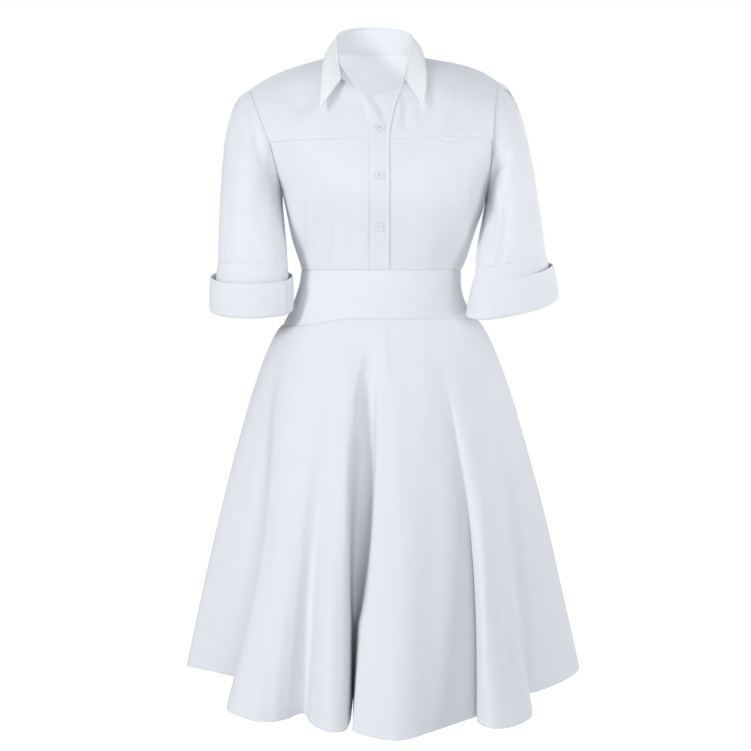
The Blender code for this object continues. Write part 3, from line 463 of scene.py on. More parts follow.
def through(rows, names, key, steady=True):
    """Smooth curves through a table; a steady curve never passes the values of its rows."""
    data = np.array(rows, float)
    knots, values = data[:, 0], data[:, 1:]
    steps = np.diff(knots)[:, None]
    slopes = np.diff(values, axis=0) / steps
    before, after = slopes[:-1], slopes[1:]
    middle = (before * steps[1:] + after * steps[:-1]) / (steps[:-1] + steps[1:])
    if steady:
        same = before * after > 0
        middle = np.where(same, 2 * before * after / np.where(same, before + after, 1), 0)
    tangents = np.concatenate([slopes[:1], middle, slopes[-1:]])
    key = np.asarray(key, float)
    i = np.clip(np.searchsorted(knots, key, side="right") - 1, 0, len(knots) - 2)
    width = knots[i + 1] - knots[i]
    leave, arrive = (width[..., None] * tangents[k] for k in (i, i + 1))
    out = hermite(values[i], values[i + 1], leave, arrive, (key - knots[i]) / width)
    return dict(zip(names[1:], np.moveaxis(out, -1, 0)))


# Forms of the solids


def both_ends(row):
    return stack(row["x_in"], row["y_in"], row["z_in"]), stack(row["x_out"], row["y_out"], row["z_out"])


def panel(rows, side, facing, u, v):
    """A bodice panel: u from its inner to its outer edge, v from the shoulder to the waist."""
    u, v = paired(u, v)
    row = through(rows[side], FRONT_NAMES, v)
    start, end = both_ends(row)
    reach = np.linalg.norm(end - start, axis=-1) * row["push"]
    fall = row["z_out"] - row["z_in"]
    turn = np.radians(row["turn"])
    leave = stack(side * reach, 0 * reach, fall * PANEL_FALL[0])
    arrive = stack(side * np.cos(turn) * reach, -facing * np.sin(turn) * reach, fall * PANEL_FALL[1])
    return hermite(start, end, leave, arrive, u)


def waist_shift(rows, side, facing, u, v):
    """Closes a panel onto the top of the waistband."""
    foot = panel(rows, side, facing, u, 1.0)
    span = BAND_ROWS[0]
    middle, half = (span[1] + span[2]) / 2, (span[2] - span[1]) / 2
    deep = span[4] if facing > 0 else -span[3]
    angle = np.degrees(np.arctan2((foot[..., 0] - middle) / half, -foot[..., 1] / deep))
    near = clamp((v - WAIST_FADE) / (1 - WAIST_FADE)) ** 2
    return (ring(WAIST_Z, angle) - foot) * near[..., None]


def fitted(rows, side, facing, u, v, top, fade_v):
    """A panel brought to its top edge and to the waistband."""
    shift = top - panel(rows, side, facing, u, 0.0)
    fade = clamp(1 - v / fade_v) ** 2
    return panel(rows, side, facing, u, v) + shift * fade[..., None] + waist_shift(rows, side, facing, u, v)


def shoulder(side, t):
    start, end = both_ends(through(FRONT_ROWS[side], FRONT_NAMES, 0.0))
    run = abs(end[0] - start[0])
    leave, arrive = (np.array([side * run, 0, slope * run]) for slope in SHOULDER_SLOPE)
    return hermite(start, end, leave, arrive, t)


def front(side, u, v):
    u, v = paired(u, v)
    return fitted(FRONT_ROWS, side, -1, u, v, shoulder(side, u), NECK_V)


def back_neckline(side, t):
    centre = panel(BACK_ROWS, side, 1, 0.0, 0.0)
    corner = shoulder(side, 0.0)
    half = abs(corner[0] - centre[0])
    leave = np.array([side * NECK_ROUND[0] * half, 0, 0])
    arrive = np.array([0, -NECK_ROUND[1] * half, -NECK_RISE])
    return hermite(centre, corner, leave, arrive, t)


def back(side, u, v):
    u, v = paired(u, v)
    neck = back_neckline(side, clamp(u / NECK_SHARE))
    seam = shoulder(side, clamp((u - NECK_SHARE) / (1 - NECK_SHARE)))
    top = np.where((u < NECK_SHARE)[..., None], neck, seam)
    return fitted(BACK_ROWS, side, 1, u, v, top, BACK_TOP_FADE)


def placket(w, v):
    """The placket strip: w from its left to its right seam as the viewer sees them."""
    w, v = paired(w, v)
    left, right = front(LEFT, 0.0 * w, v), front(RIGHT, 0.0 * w, v)
    point = left + (right - left) * w[..., None]
    open_top = clamp((OPEN_V - v) / (OPEN_V - NECK_V))
    bow = 4 * w * (1 - w)
    point[..., 1] -= bow * (STRIP_BOW[0] + STRIP_BOW[1] * open_top)
    point[..., 2] -= bow * STRIP_DROP * open_top**2
    return point


def oval(row, z, angle, square=0.06):
    """A ring with a reach of its own to each side; angle 0 is the front, 90 the viewer's right."""
    a = np.radians(angle)
    x_mid = (row["left"] + row["right"]) / 2
    x_half = (row["right"] - row["left"]) / 2
    deep = np.where(np.cos(a) > 0, -row["front"], row["back"])
    x = x_mid + x_half * np.sin(a) * (1 + square * np.cos(a) ** 2)
    y = -deep * np.cos(a) * (1 + square * np.sin(a) ** 2)
    return stack(x, y, z)


def ring(z, angle):
    z, angle = paired(z, angle)
    return oval(through(BAND_ROWS[::-1], BAND_NAMES, z), z, angle)


def band_foot(angle):
    wrapped = (np.asarray(angle, float) + 180) % 360 - 180
    return through(BAND_DROP, ["turn", "z"], wrapped)["z"]


def hem_points(angle):
    first, last = FOLD_ROWS[:3], FOLD_ROWS[-3:]
    rows = [(r[0] - 360, *r[1:]) for r in last] + FOLD_ROWS + [(r[0] + 360, *r[1:]) for r in first]
    wrapped = (np.asarray(angle, float) + 90) % 360 - 90
    return through(rows, FOLD_NAMES, wrapped, steady=False)


def skirt(angle, s):
    """The flared skirt: s from the waistband's foot to the hem."""
    angle, s = paired(angle, s)
    z_top = band_foot(angle)
    top = ring(z_top, angle)
    hem = hem_points(angle)
    plain = oval({k: np.full(angle.shape, v) for k, v in HEM_SPAN.items()}, HEM_Z, angle, 0.0)
    spread = s**SKIRT_FLARE
    flat = top[..., :2] + (plain[..., :2] - top[..., :2]) * spread[..., None]
    grow = clamp((s - hem["start"]) / (1 - hem["start"])) ** FOLD_GROWTH
    fold = stack(hem["x"], hem["y"]) - plain[..., :2]
    plan = flat + fold * grow[..., None]
    plan[..., 0] += hem["bow"] * np.sin(np.pi * s**BOW_LATE)
    z = z_top + (HEM_Z - hem["drop"] - z_top) * s
    return np.concatenate([plan, z[..., None]], axis=-1)


def armhole(side, v_front, v_back):
    """An armhole down the front and up the back: points, normals of the cloth, and the way out of it."""
    points, normals = [], []
    for surface_of, rows, facing in ((front, v_front, -1), (back, v_back, 1)):
        grid = surface_of(side, np.array([[ARM_STEP, 1.0]]), rows[:, None])
        down = np.gradient(grid[:, 1], rows, axis=0)
        points.append(grid[:, 1])
        normals.append(unit(np.cross(grid[:, 1] - grid[:, 0], -down) * (side * -facing)))
    points = np.concatenate([points[0], points[1][-2:0:-1]])
    normals[0][[0, -1]] += normals[1][[0, -1]]
    normals = unit(np.concatenate([normals[0], normals[1][-2:0:-1]]))
    along = np.roll(points, -1, axis=0) - np.roll(points, 1, axis=0)
    return points, normals, unit(np.cross(normals, along) * side)


def cuff_ring(side, half, deep, z, angle, inner=0.0):
    """A tilted oval with a pressed crease; inner moves it from the band's centre to the sleeve's."""
    c = CUFFS[side]
    middle = c["x"] + (c["x_in"] - c["x"]) * inner
    a, swing = np.radians(angle), np.radians(c["swing"])
    gap = np.abs((angle - c["crease"] + 180) % 360 - 180)
    press = 1 + CREASE_REACH * np.exp(-gap / CREASE_WIDTH)
    across, along = half * np.sin(a) * press, -deep * np.cos(a) * press
    x = across * np.cos(swing) - along * np.sin(swing)
    y = across * np.sin(swing) + along * np.cos(swing)
    return stack(middle + x, c["y"] + y, z + c["roll"] * x + c["pitch"] * y)


def sleeve(side, points, normals, out, rows):
    """A sleeve from the armhole to its cuff, and each column's share of the armhole."""
    c = CUFFS[side]
    run = walked(closed(points))
    share = run[:-1] / run[-1]
    lead = through(SLEEVE_ROWS, SLEEVE_NAMES, share)
    turn = np.radians(lead["turn"])[:, None]
    start = points + (out * np.cos(turn / 2) + normals * np.sin(turn / 2)) * SEAM_GAP
    leave = (out * np.cos(turn) + normals * np.sin(turn)) * lead["leave"][:, None] * SLEEVE_SPRING[side]
    half, level = c["half_in"], c["z_seam"] + SEAM_GAP
    end = cuff_ring(side, half, half + c["deep"] - c["half_foot"], level, side * (90 - 360 * share), 1.0)
    arrive = np.array([c["lean"], 0, -1]) * lead["arrive"][:, None]
    return hermite(start, end, leave, arrive, rows[:, None]), share


def neck_loop(w):
    """The neck seam from the left front end round the back to the right front end."""
    quarter = np.asarray(w, float) * 4
    out = np.zeros((*quarter.shape, 3))
    for side, low, high, t in ((LEFT, 0, 1, quarter), (RIGHT, 3, 4, 4 - quarter)):
        here = (quarter >= low) & (quarter <= high)
        out[here] = front(side, 0.0, NECK_V * (1 - t[here]))
    for side, low, high, t in ((LEFT, 1, 2, 2 - quarter), (RIGHT, 2, 3, quarter - 2)):
        here = (quarter > low) & (quarter < high) | (quarter == 2)
        out[here] = back_neckline(side, t[here])
    return out


def collar_frame(w):
    """Neck seam, fold and outer edge of the collar, and the stand's own up and out."""
    row = through(COLLAR_ROWS, COLLAR_NAMES, w, steady=False)
    base = neck_loop(w)
    roll, edge = (stack(*(row[f"{line}_{axis}"] for axis in "xyz")) for line in ("roll", "edge"))
    up = unit(roll - base)
    return base, roll, edge, up, unit(np.cross(up, np.gradient(roll, axis=0)))


# Measures on a grid

PIECES = {}            # outer faces of the finished pieces by node, for the stitches


def closed(points):
    return np.concatenate([points, points[:1]])


def wrapped(grid):
    return np.concatenate([grid, grid[:, :1]], axis=1)


def walked(points):
    """Run along a path up to each of its points."""
    return np.concatenate([[0], np.cumsum(np.linalg.norm(np.diff(points, axis=0), axis=-1))])


def followed(at, walk, field):
    """Values of a field along a path, at runs along it."""
    return np.stack([np.interp(at, walk, field[:, k]) for k in range(3)], axis=-1)


def grid_normals(grid, wrap=False):
    if wrap:
        across = np.roll(grid, -1, axis=1) - np.roll(grid, 1, axis=1)
    else:
        across = np.gradient(grid, axis=1)
    normal = np.cross(across, -np.gradient(grid, axis=0))
    length = np.linalg.norm(normal, axis=-1, keepdims=True)
    return normal / np.where(length > 1e-9, length, 1)


def turned_to(face, guide):
    return np.where((face * guide).sum(-1, keepdims=True) < 0, -face, face)


def project(points):
    """Pixels of the photograph's frame."""
    tilt = np.radians(VIEW["tilt"])
    dy, dz = points[..., 1] - VIEW["y"], points[..., 2] - VIEW["z"]
    ahead = dy * np.cos(tilt) - dz * np.sin(tilt)
    up = dy * np.sin(tilt) + dz * np.cos(tilt)
    middle = VIEW["frame"] / 2
    return stack(middle + VIEW["focal"] * (points[..., 0] - VIEW["x"]) / ahead,
                 middle - VIEW["focal"] * up / ahead)


def path_distance(flat, path):
    """Distance to a path and the share along it, for an array of flat points."""
    path = np.array(path, float)
    walk = walked(path)
    best = np.full(flat.shape[:-1], np.inf)
    share = np.zeros(flat.shape[:-1])
    for a, b, begin, end in zip(path[:-1], path[1:], walk[:-1], walk[1:]):
        t = clamp(((flat - a) @ (b - a)) / (end - begin) ** 2)
        gap = np.linalg.norm(flat - (a + t[..., None] * (b - a)), axis=-1)
        near = gap < best
        best = np.where(near, gap, best)
        share = np.where(near, (begin + t * (end - begin)) / walk[-1], share)
    return best, share


def creased(flat, table):
    """Height of the listed troughs and ridges, each fading out at both ends."""
    height = np.zeros(flat.shape[:-1])
    for amount, width, path in table:
        gap, share = path_distance(flat, path)
        fade = np.sin(np.pi * (CREASE_END + (1 - 2 * CREASE_END) * share)) ** CREASE_FULL
        height += amount * bell(gap, width) * fade
    return height


def borders(grid):
    """Distance along the cloth from each border."""
    across, down = (np.linalg.norm(np.diff(grid, axis=axis), axis=-1) for axis in (1, 0))
    first = np.pad(np.cumsum(across, axis=1), ((0, 0), (1, 0)))
    top = np.pad(np.cumsum(down, axis=0), ((1, 0), (0, 0)))
    return dict(first=first, last=first[:, -1:] - first, top=top, foot=top[-1:] - top)


def seam_roll(edges, sides, width=1.5):
    """The cloth dips where it is sewn to the next piece."""
    return -SEAM_DIP * sum(bell(edges[side], width) for side in sides)


def patch_area(grid, wrap=False):
    if wrap:
        grid = wrapped(grid)
    a = grid[1:, 1:] - grid[:-1, :-1]
    b = grid[1:, :-1] - grid[:-1, 1:]
    return 0.5 * np.linalg.norm(np.cross(a, b), axis=-1).sum()


def along_grid(piece, rows, cols):
    """Points and normals at fractional rows and columns of a piece."""
    grid, normal = piece["grid"], piece["normal"]
    rows, cols = paired(rows, cols)
    count = grid.shape[1]
    i = np.clip(np.floor(rows).astype(int), 0, grid.shape[0] - 2)
    whole = np.floor(cols).astype(int)
    j = whole % count if piece["wrap"] else np.clip(whole, 0, count - 2)
    k = (j + 1) % count
    t = (cols - (whole if piece["wrap"] else j))[..., None]
    s = (rows - i)[..., None]

    def mix(field):
        return ((field[i, j] * (1 - t) + field[i, k] * t) * (1 - s)
                + (field[i + 1, j] * (1 - t) + field[i + 1, k] * t) * s)

    return mix(grid), unit(mix(normal))


def line_at(node, side, inset, start=0.0, end=1.0):
    """A line of points that runs inside one border of a piece, inset mm from it."""
    piece = PIECES[node]
    edges = borders(piece["grid"])[side]
    upright, late = side in ("first", "last"), side in ("last", "foot")
    if not upright:
        edges = edges.T
    lines, count = edges.shape
    i = np.arange(round(start * (lines - 1)), round(end * (lines - 1)) + 1)
    order = -1 if late else 1
    j = np.array([np.interp(inset, edges[line][::order], np.arange(count)) for line in i])
    if late:
        j = count - 1 - j
    return along_grid(piece, i, j) if upright else along_grid(piece, j, i)


# Meshes


def quads(a, b, flip=False):
    """Four-sided faces between two lines of point numbers, or between each pair of two tables."""
    faces = stack(a[..., :-1], b[..., :-1], b[..., 1:], a[..., 1:]).reshape(-1, 4)
    return faces[:, [0, 3, 2, 1]] if flip else faces


def wall(outer, inner, wrap=False):
    """A closed shell between two grids of the same size."""
    size = outer.shape[0] * outer.shape[1]
    ids = np.arange(size).reshape(outer.shape[:2])
    if wrap:
        ids = wrapped(ids)
    faces = [quads(ids[:-1], ids[1:]), quads(ids[:-1], ids[1:], True) + size,
             quads(ids[0], ids[0] + size, True), quads(ids[-1], ids[-1] + size)]
    if not wrap:
        first, last = ids[:, 0], ids[:, -1]
        faces += [quads(first, first + size), quads(last, last + size, True)]
    return np.concatenate([outer.reshape(-1, 3), inner.reshape(-1, 3)]), np.concatenate(faces)


def loft(verts, faces, rings):
    """Adds a closed rod through rings of as many points each to the lists of a mesh."""
    count = len(rings[0])
    ids = np.arange(len(rings) * count).reshape(-1, count) + len(verts)
    verts.extend(np.concatenate(rings))
    faces.extend(quads(wrapped(ids[:-1]), wrapped(ids[1:]), True))
    faces += [ids[0][::-1], ids[-1]]


def lathe(profile, count):
    """A turned solid from pairs of radius and height that start and end on its axis."""
    angles = np.linspace(0, 2 * np.pi, count, endpoint=False)
    rings = [(r * np.cos(a), r * np.sin(a), h) for r, h in profile[1:-1] for a in angles]
    verts = [(0, 0, profile[0][1]), *rings, (0, 0, profile[-1][1])]
    top = 1 + (len(profile) - 3) * count
    faces = []
    for j in range(count):
        k = (j + 1) % count
        faces += [(0, 1 + k, 1 + j), (len(verts) - 1, top + j, top + k)]
        faces += [(low + j, low + k, low + count + k, low + count + j) for low in range(1, top, count)]
    return np.array(verts, float), faces


def linked(name, data):
    obj = bpy.data.objects.new(name, data)
    bpy.context.scene.collection.objects.link(obj)
    return obj


def build(name, verts, faces, material, uv=None, sharp=50):
    mesh = bpy.data.meshes.new(name)
    mesh.from_pydata((np.asarray(verts, float) * MM).tolist(), [], [tuple(int(v) for v in f) for f in faces])
    mesh.update()
    mesh.shade_smooth()
    mesh.set_sharp_from_angle(angle=np.radians(sharp))
    if uv is not None:
        layer = mesh.uv_layers.new(name="cloth")
        index = np.empty(len(mesh.loops), np.int32)
        mesh.loops.foreach_get("vertex_index", index)
        layer.data.foreach_set("uv", (np.asarray(uv)[index] * MM).ravel())
    mesh.materials.append(material)
    return linked(name, mesh)


def cloth_run(grid):
    """The cloth's own measure across and down, which the weave follows."""
    edges = borders(grid)
    return stack(edges["first"], edges["top"])


def shell(name, outer, inner, material, wrap=False, run=None):
    """A thin cloth piece between its outer and its inner face."""
    uv = (cloth_run(outer) if run is None else run).reshape(-1, 2)
    return build(name, *wall(outer, inner, wrap), material, np.concatenate([uv, uv]))


def dress(obj, node=None):
    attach(obj, "root")
    if node:
        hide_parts(node)


def declare(obj, node, width, length, area):
    """Dresses a cloth piece and states the sheet that it was cut from; measures in mm."""
    dress(obj, node)
    width, length, area = width * MM, length * MM, area * MM * MM
    print(f"sheet {node}: flat {width:.3f} x {length:.3f} m, area {area:.4f} m2")


def measured(obj, node, grid, wrap=False):
    """Declares a piece with the run of its grid, as wide as its area asks for."""
    edges = borders(grid)
    width, length = edges["first"][:, -1].max(), edges["top"][-1].max()
    if wrap:
        width += np.linalg.norm(grid[:, 0] - grid[:, -1], axis=-1).max()
    area = patch_area(grid, wrap)
    declare(obj, node, max(width, area / length) * SHEET_EASE, length, area)


def keep(node, grid, normal, wrap=False):
    """Keeps a piece's face for the stitches."""
    PIECES[node] = dict(grid=grid, normal=normal, wrap=wrap)


def sewn(node, grid, normal, material, level, thick=CLOTH, wrap=False):
    """A hung piece whose outer face stands its level above the grid."""
    grid = grid + normal * np.asarray(level)[..., None]
    face = turned_to(grid_normals(grid, wrap), normal)
    obj = shell(f"{node}_cloth", grid, grid - face * thick, material, wrap)
    measured(obj, node, grid, wrap)
    keep(node, grid, face, wrap)


def stitched(name, lines, pitch=2.8, length=2.0):
    """Rows of machine stitches: one short rounded bar for each."""
    verts, faces = [], []
    turns = np.radians(np.arange(0, 360, 72))[:, None]
    for points, normals in lines:
        walk = walked(points)
        count = int(walk[-1] / pitch)
        at = (np.arange(count) + 0.5) * walk[-1] / count
        face = unit(followed(at, walk, normals))
        ahead = unit(followed(at + 0.3, walk, points) - followed(at - 0.3, walk, points))
        for p, f, a, b in zip(followed(at, walk, points), face, ahead, np.cross(face, ahead)):
            around = (f * np.cos(turns) + b * np.sin(turns)) * THREAD_RADIUS + f * STITCH_LIFT
            loft(verts, faces, [p + a * shift * length + around * size for shift, size in STITCH_ENDS])
    dress(build(name, verts, faces, THREAD))


# Materials


def fill(node, values):
    for key, value in values.items():
        node.inputs[key].default_value = value


def add(tree, kind, values=(), links=()):
    """A new node with its values and the outputs that feed it."""
    node = tree.nodes.new("ShaderNode" + kind)
    fill(node, dict(values))
    for key, source in dict(links).items():
        tree.links.new(source, node.inputs[key])
    return node


def material_of(name, values):
    material = bpy.data.materials.new(name)
    material.use_nodes = True
    tree = material.node_tree
    shader = tree.nodes["Principled BSDF"]
    fill(shader, values)
    return material, tree, shader


def mottled(tree, shader, field, base, dark):
    """The base colour, mottled with a darker share of itself."""
    tone = add(tree, "Mix")
    tone.data_type = "RGBA"
    tone.inputs[6].default_value = (*[c * dark for c in base], 1)
    tone.inputs[7].default_value = (*base, 1)
    tree.links.new(field.outputs["Fac"], tone.inputs[0])
    tree.links.new(tone.outputs[2], shader.inputs["Base Color"])


def roughened(tree, shader, field, low, high):
    rough = add(tree, "MapRange", {"To Min": low, "To Max": high}, {"Value": field.outputs["Fac"]})
    tree.links.new(rough.outputs[0], shader.inputs["Roughness"])


def bumped(tree, shader, layers):
    """Bumps laid over each other: height field, strength and distance in metres."""
    links = {}
    for field, strength, distance in layers:
        links["Height"] = field.outputs[0]
        bump = add(tree, "Bump", {"Strength": strength, "Distance": distance}, links)
        links["Normal"] = bump.outputs["Normal"]
    tree.links.new(links["Normal"], shader.inputs["Normal"])


def cloth_material(name, base, crumple, seed):
    """Plain-woven cotton: yarns from the cloth's own measure, small crumples and a faint unevenness."""
    sheen = {"Sheen Weight": 0.12, "Sheen Roughness": 0.5, "Specular IOR Level": 0.3}
    material, tree, shader = material_of(name, sheen)
    run = add(tree, "UVMap")
    run.uv_map = "cloth"
    weft = add(tree, "Math")
    weft.operation = "MAXIMUM"
    yarn = {"Scale": YARN_SCALE, "Distortion": 0.6, "Detail": 1.0, "Detail Scale": 0.4}
    for i, direction in enumerate("XY"):
        wave = add(tree, "TexWave", yarn, {"Vector": run.outputs["UV"]})
        wave.bands_direction = direction
        tree.links.new(wave.outputs["Fac"], weft.inputs[i])
    space = add(tree, "TexCoord").outputs["Object"]
    slub = add(tree, "TexNoise", {"Scale": 420.0, "Detail": 3.0}, {"Vector": space})
    shift = add(tree, "Mapping", {"Location": (seed, seed * 0.7, -seed)}, {"Vector": space})
    ripple = add(tree, "TexNoise", {"Scale": 34.0, "Detail": 2.5, "Roughness": 0.45},
                 {"Vector": shift.outputs["Vector"]})
    bumped(tree, shader, ((ripple, crumple, 0.004), (slub, 0.25, 0.0004), (weft, 0.4, 0.00008)))
    mottled(tree, shader, slub, base, 0.965)
    roughened(tree, shader, ripple, 0.68, 0.86)
    return material


def plastic_material(name, base):
    """Pearly white button: faint clouding under a clear skin."""
    material, tree, shader = material_of(name, {"Coat Weight": 0.3, "Coat Roughness": 0.12})
    space = add(tree, "TexCoord").outputs["Object"]
    cloud = add(tree, "TexNoise", {"Scale": 260.0, "Detail": 3.0, "Distortion": 1.5}, {"Vector": space})
    mottled(tree, shader, cloud, base, 0.90)
    roughened(tree, shader, cloud, 0.16, 0.34)
    return material


def thread_material(name, base):
    """Twisted sewing thread."""
    material, tree, shader = material_of(name, {"Roughness": 0.55, "Sheen Weight": 0.2})
    space = add(tree, "TexCoord").outputs["Object"]
    twist = add(tree, "TexWave", {"Scale": 900.0}, {"Vector": space})
    twist.bands_direction = "DIAGONAL"
    mottled(tree, shader, twist, base, 0.93)
    bumped(tree, shader, ((twist, 0.3, 0.00005),))
    return material


CLOTHS = {}            # cloth materials by kind, made when first asked for
THREAD = thread_material("thread", (0.86, 0.87, 0.90))


def cloth_of(kind, crumple=0.25, seed=0.0, base=WHITE):
    if kind not in CLOTHS:
        CLOTHS[kind] = cloth_material("cloth_" + kind, base, crumple, seed)
    return CLOTHS[kind]


# Pieces


def merged(*rows):
    return np.unique(np.round(np.concatenate(rows), 6))


def edged(start, end, count, length):
    """Even steps with finer ones near both ends; length is the run of the whole in mm."""
    near = np.array(FINE_STEPS) / length * (end - start)
    return merged(np.linspace(start, end, count), start + near, end - near)


def place(point):
    """A small cell of space that holds the same point of two neighbouring grids."""
    return tuple(np.floor(point * 11 + 0.37).astype(int))


def bodice_grids():
    """Grids of the bodice's pieces, and their normals, which are shared across the seams."""
    u = edged(0, 1, 74, 165)
    v_yoke = edged(0, YOKE_V, 60, 130)
    v_side = np.concatenate([np.linspace(ARMPIT_V, 1, 42)[1:], WAIST_FINE])
    v_low = merged(edged(YOKE_V, ARMPIT_V, 36, 80), v_side)
    grids = {}
    for side, name in SIDE_NAMES.items():
        grids[f"front_yoke_{name}"] = front(side, u, v_yoke[:, None])[:, ::side]
        grids[f"front_bodice_{name}"] = front(side, u, v_low[:, None])[:, ::side]
    v_strip = np.concatenate([[NECK_V], v_yoke[v_yoke > NECK_V + 1e-6], v_low[1:]])
    grids["placket"] = placket(edged(0, 1, 17, 28), v_strip[:, None])
    half = np.concatenate([np.linspace(0, NECK_SHARE, 30), NECK_SHARE + (1 - NECK_SHARE) * u[1:]])
    v_back = merged(np.linspace(0, ARMPIT_V, 80), [0.004, 0.010, 0.018], v_side)[:, None]
    halves = back(RIGHT, half, v_back)[:, ::-1], back(LEFT, half[1:], v_back)
    grids["back_bodice"] = np.concatenate(halves, axis=1)
    normals = {name: grid_normals(grid) for name, grid in grids.items()}
    shared = {}
    for name, grid in grids.items():
        for point, normal in zip(grid.reshape(-1, 3), normals[name].reshape(-1, 3)):
            shared[place(point)] = shared.get(place(point), 0) + normal
    for name, grid in grids.items():
        joined = np.array([shared[place(p)] for p in grid.reshape(-1, 3)]).reshape(grid.shape)
        joined[..., 2] *= clamp((grid[..., 2] - WAIST_Z) / WAIST_LEVEL)
        normals[name] = unit(joined)
    return grids, normals


def trimmed(grid, sides):
    """A grid without half a seam's gap at each of these borders."""
    grid = grid.copy()
    for side in sides:
        lines = grid if side in ("top", "foot") else grid.swapaxes(0, 1)
        edge, inner = (0, 1) if side in ("top", "first") else (-1, -2)
        lines[edge] += unit(lines[inner] - lines[edge]) * SEAM_GAP / 2
    return grid


def make_bodice():
    """Yokes, fronts, back and placket strips; gives back the strip's grid and normals."""
    grids, normals = bodice_grids()
    for name, inner, outer in (("right", "last", "first"), ("left", "first", "last")):
        for node, sides in ((f"front_yoke_{name}", ("top", "foot", inner)),
                            (f"front_bodice_{name}", ("top", "foot", inner, outer))):
            grid = trimmed(grids[node], sides)
            level = creased(project(grid), FRONT_CREASES) + seam_roll(borders(grid), sides)
            sewn(node, grid, normals[node], cloth_of(node, seed=len(PIECES)), level)
    grid = trimmed(grids["back_bodice"], ALL_SIDES)
    level = seam_roll(borders(grid), ALL_SIDES) + creased(grid[..., [0, 2]], BACK_CREASES)
    sewn("back_bodice", grid, normals["back_bodice"], cloth_of("back", seed=5), level)
    strip, strip_n = grids["placket"], normals["placket"]
    grid = trimmed(strip, ("foot", "first", "last"))
    edges = borders(grid)
    level = OVER_LIFT + creased(project(grid), FRONT_CREASES) + seam_roll(edges, ("foot", "first"), 1.0)
    level = level + FREE_EDGE * bell(edges["last"], FREE_WIDTH) * clamp(edges["foot"] / FREE_FOOT)
    sewn("placket_over", grid, strip_n, cloth_of("placket", 0.2, 7), level, DOUBLED)
    grid = trimmed(strip[1:, 1:], ("foot", "last"))
    sewn("placket_under", grid, strip_n[1:, 1:], cloth_of("placket", 0.2, 7), UNDER_LIFT)
    return strip, strip_n


def squared(grid, upright, out):
    """Normals of half a round piece, level where upright is 0 and square to both side seams."""
    normal = grid_normals(grid)
    normal[:, 0], normal[:, -1] = (out, 0, 0), (-out, 0, 0)
    normal[..., 2] *= upright
    return unit(normal)


def make_waistband():
    for name, out, angles, creases in (("front", -1, edged(-90, 90, 150, 370), BAND_CREASES),
                                       ("back", 1, edged(90, 270, 110, 330), [])):
        grid = ring(WAIST_Z + (band_foot(angles) - WAIST_Z) * edged(0, 1, 26, 70)[:, None], angles)
        normal = squared(grid, 0, out)
        grid = trimmed(grid, ALL_SIDES)
        level = seam_roll(borders(grid), ALL_SIDES) + creased(project(grid), creases)
        sewn(f"waistband_{name}", grid, normal, cloth_of("band", 0.25, 3), level, DOUBLED)


def make_skirt():
    s = merged(edged(0, 1, 96, 560), HEM_FINE)[:, None]
    sides = ("top", "first", "last")
    for name, out, angles, creases in (("front", -1, edged(-90, 90, 300, 1100), SKIRT_CREASES),
                                       ("back", 1, edged(90, 270, 240, 1100), [])):
        grid = skirt(angles, s)
        normal = squared(grid, clamp(s * SKIRT_LEVEL), out)
        grid = trimmed(grid, sides)
        edges = borders(grid)
        level = seam_roll(edges, sides) - HEM_DIP * bell(edges["foot"] - HEM_STITCH, 1.2)
        level = level + creased(project(grid), creases)
        sewn(f"skirt_{name}", grid, normal, cloth_of("skirt_" + name, 0.3, 11), level)


def waved(turn, side, table):
    """Small folds round a tube, from sine waves; turn in radians."""
    return sum(height * np.sin(turn * count + phase + shift * side) for count, phase, shift, height in table)


def gathers(edges, share, side):
    """Small eased folds at the sleeve head and above the cuff seam."""
    turn = share * 2 * np.pi
    head = waved(turn, side, HEAD_WAVES) * bell(np.minimum(share, 1 - share), HEAD_REACH)
    low = waved(turn, side, SLEEVE_FOOT_WAVES)
    return (head * np.exp(-edges["top"] / GATHER_REACH[0]) * clamp(edges["top"] / 3)
            + low * np.exp(-edges["foot"] / GATHER_REACH[1]) * clamp(edges["foot"] / 2.5))


def make_sleeves():
    rows = merged(np.linspace(0, 1, 84) ** SLEEVE_EASE, SLEEVE_FINE)
    for side, name in SIDE_NAMES.items():
        hole = armhole(side, edged(0, ARMPIT_V, 66, 170), np.linspace(0, ARMPIT_V, 66))
        grid, share = sleeve(side, *hole, rows)
        if side == RIGHT:
            grid, share = grid[:, ::-1], share[::-1]
        normal = grid_normals(grid, wrap=True)
        edges = borders(grid)
        seen = project(grid)
        hidden = stack(2 * SLEEVE_MIDDLE[side] - seen[..., 0], seen[..., 1])
        # The creases die away where the cloth turns sideways, and over 6 mm at both seams.
        ahead, behind = clamp(-normal[..., 1] * 4), clamp(normal[..., 1] * 2.5 - 0.75)
        folds = creased(seen, SLEEVE_CREASES[side]) * ahead + creased(hidden, SLEEVE_CREASES[side]) * behind
        level = seam_roll(edges, ("top", "foot"), 1.4) + gathers(edges, share, side)
        level = level + folds * clamp(edges["top"] / 6) * clamp(edges["foot"] / 6)
        sewn(f"sleeve_{name}", grid, normal, cloth_of("sleeve_" + name, 0.3, 13 + side), level, wrap=True)


def offset_profile(path, thick):
    """A closed outline round a flat path, which lies in its middle; both ends are thinner."""
    ahead = unit(np.gradient(path, axis=0))
    half = np.full((len(path), 1), thick / 2)
    half[[0, -1]] *= 0.55
    step = stack(ahead[:, 1], -ahead[:, 0]) * half
    return np.concatenate([path + step, (path - step)[::-1]])


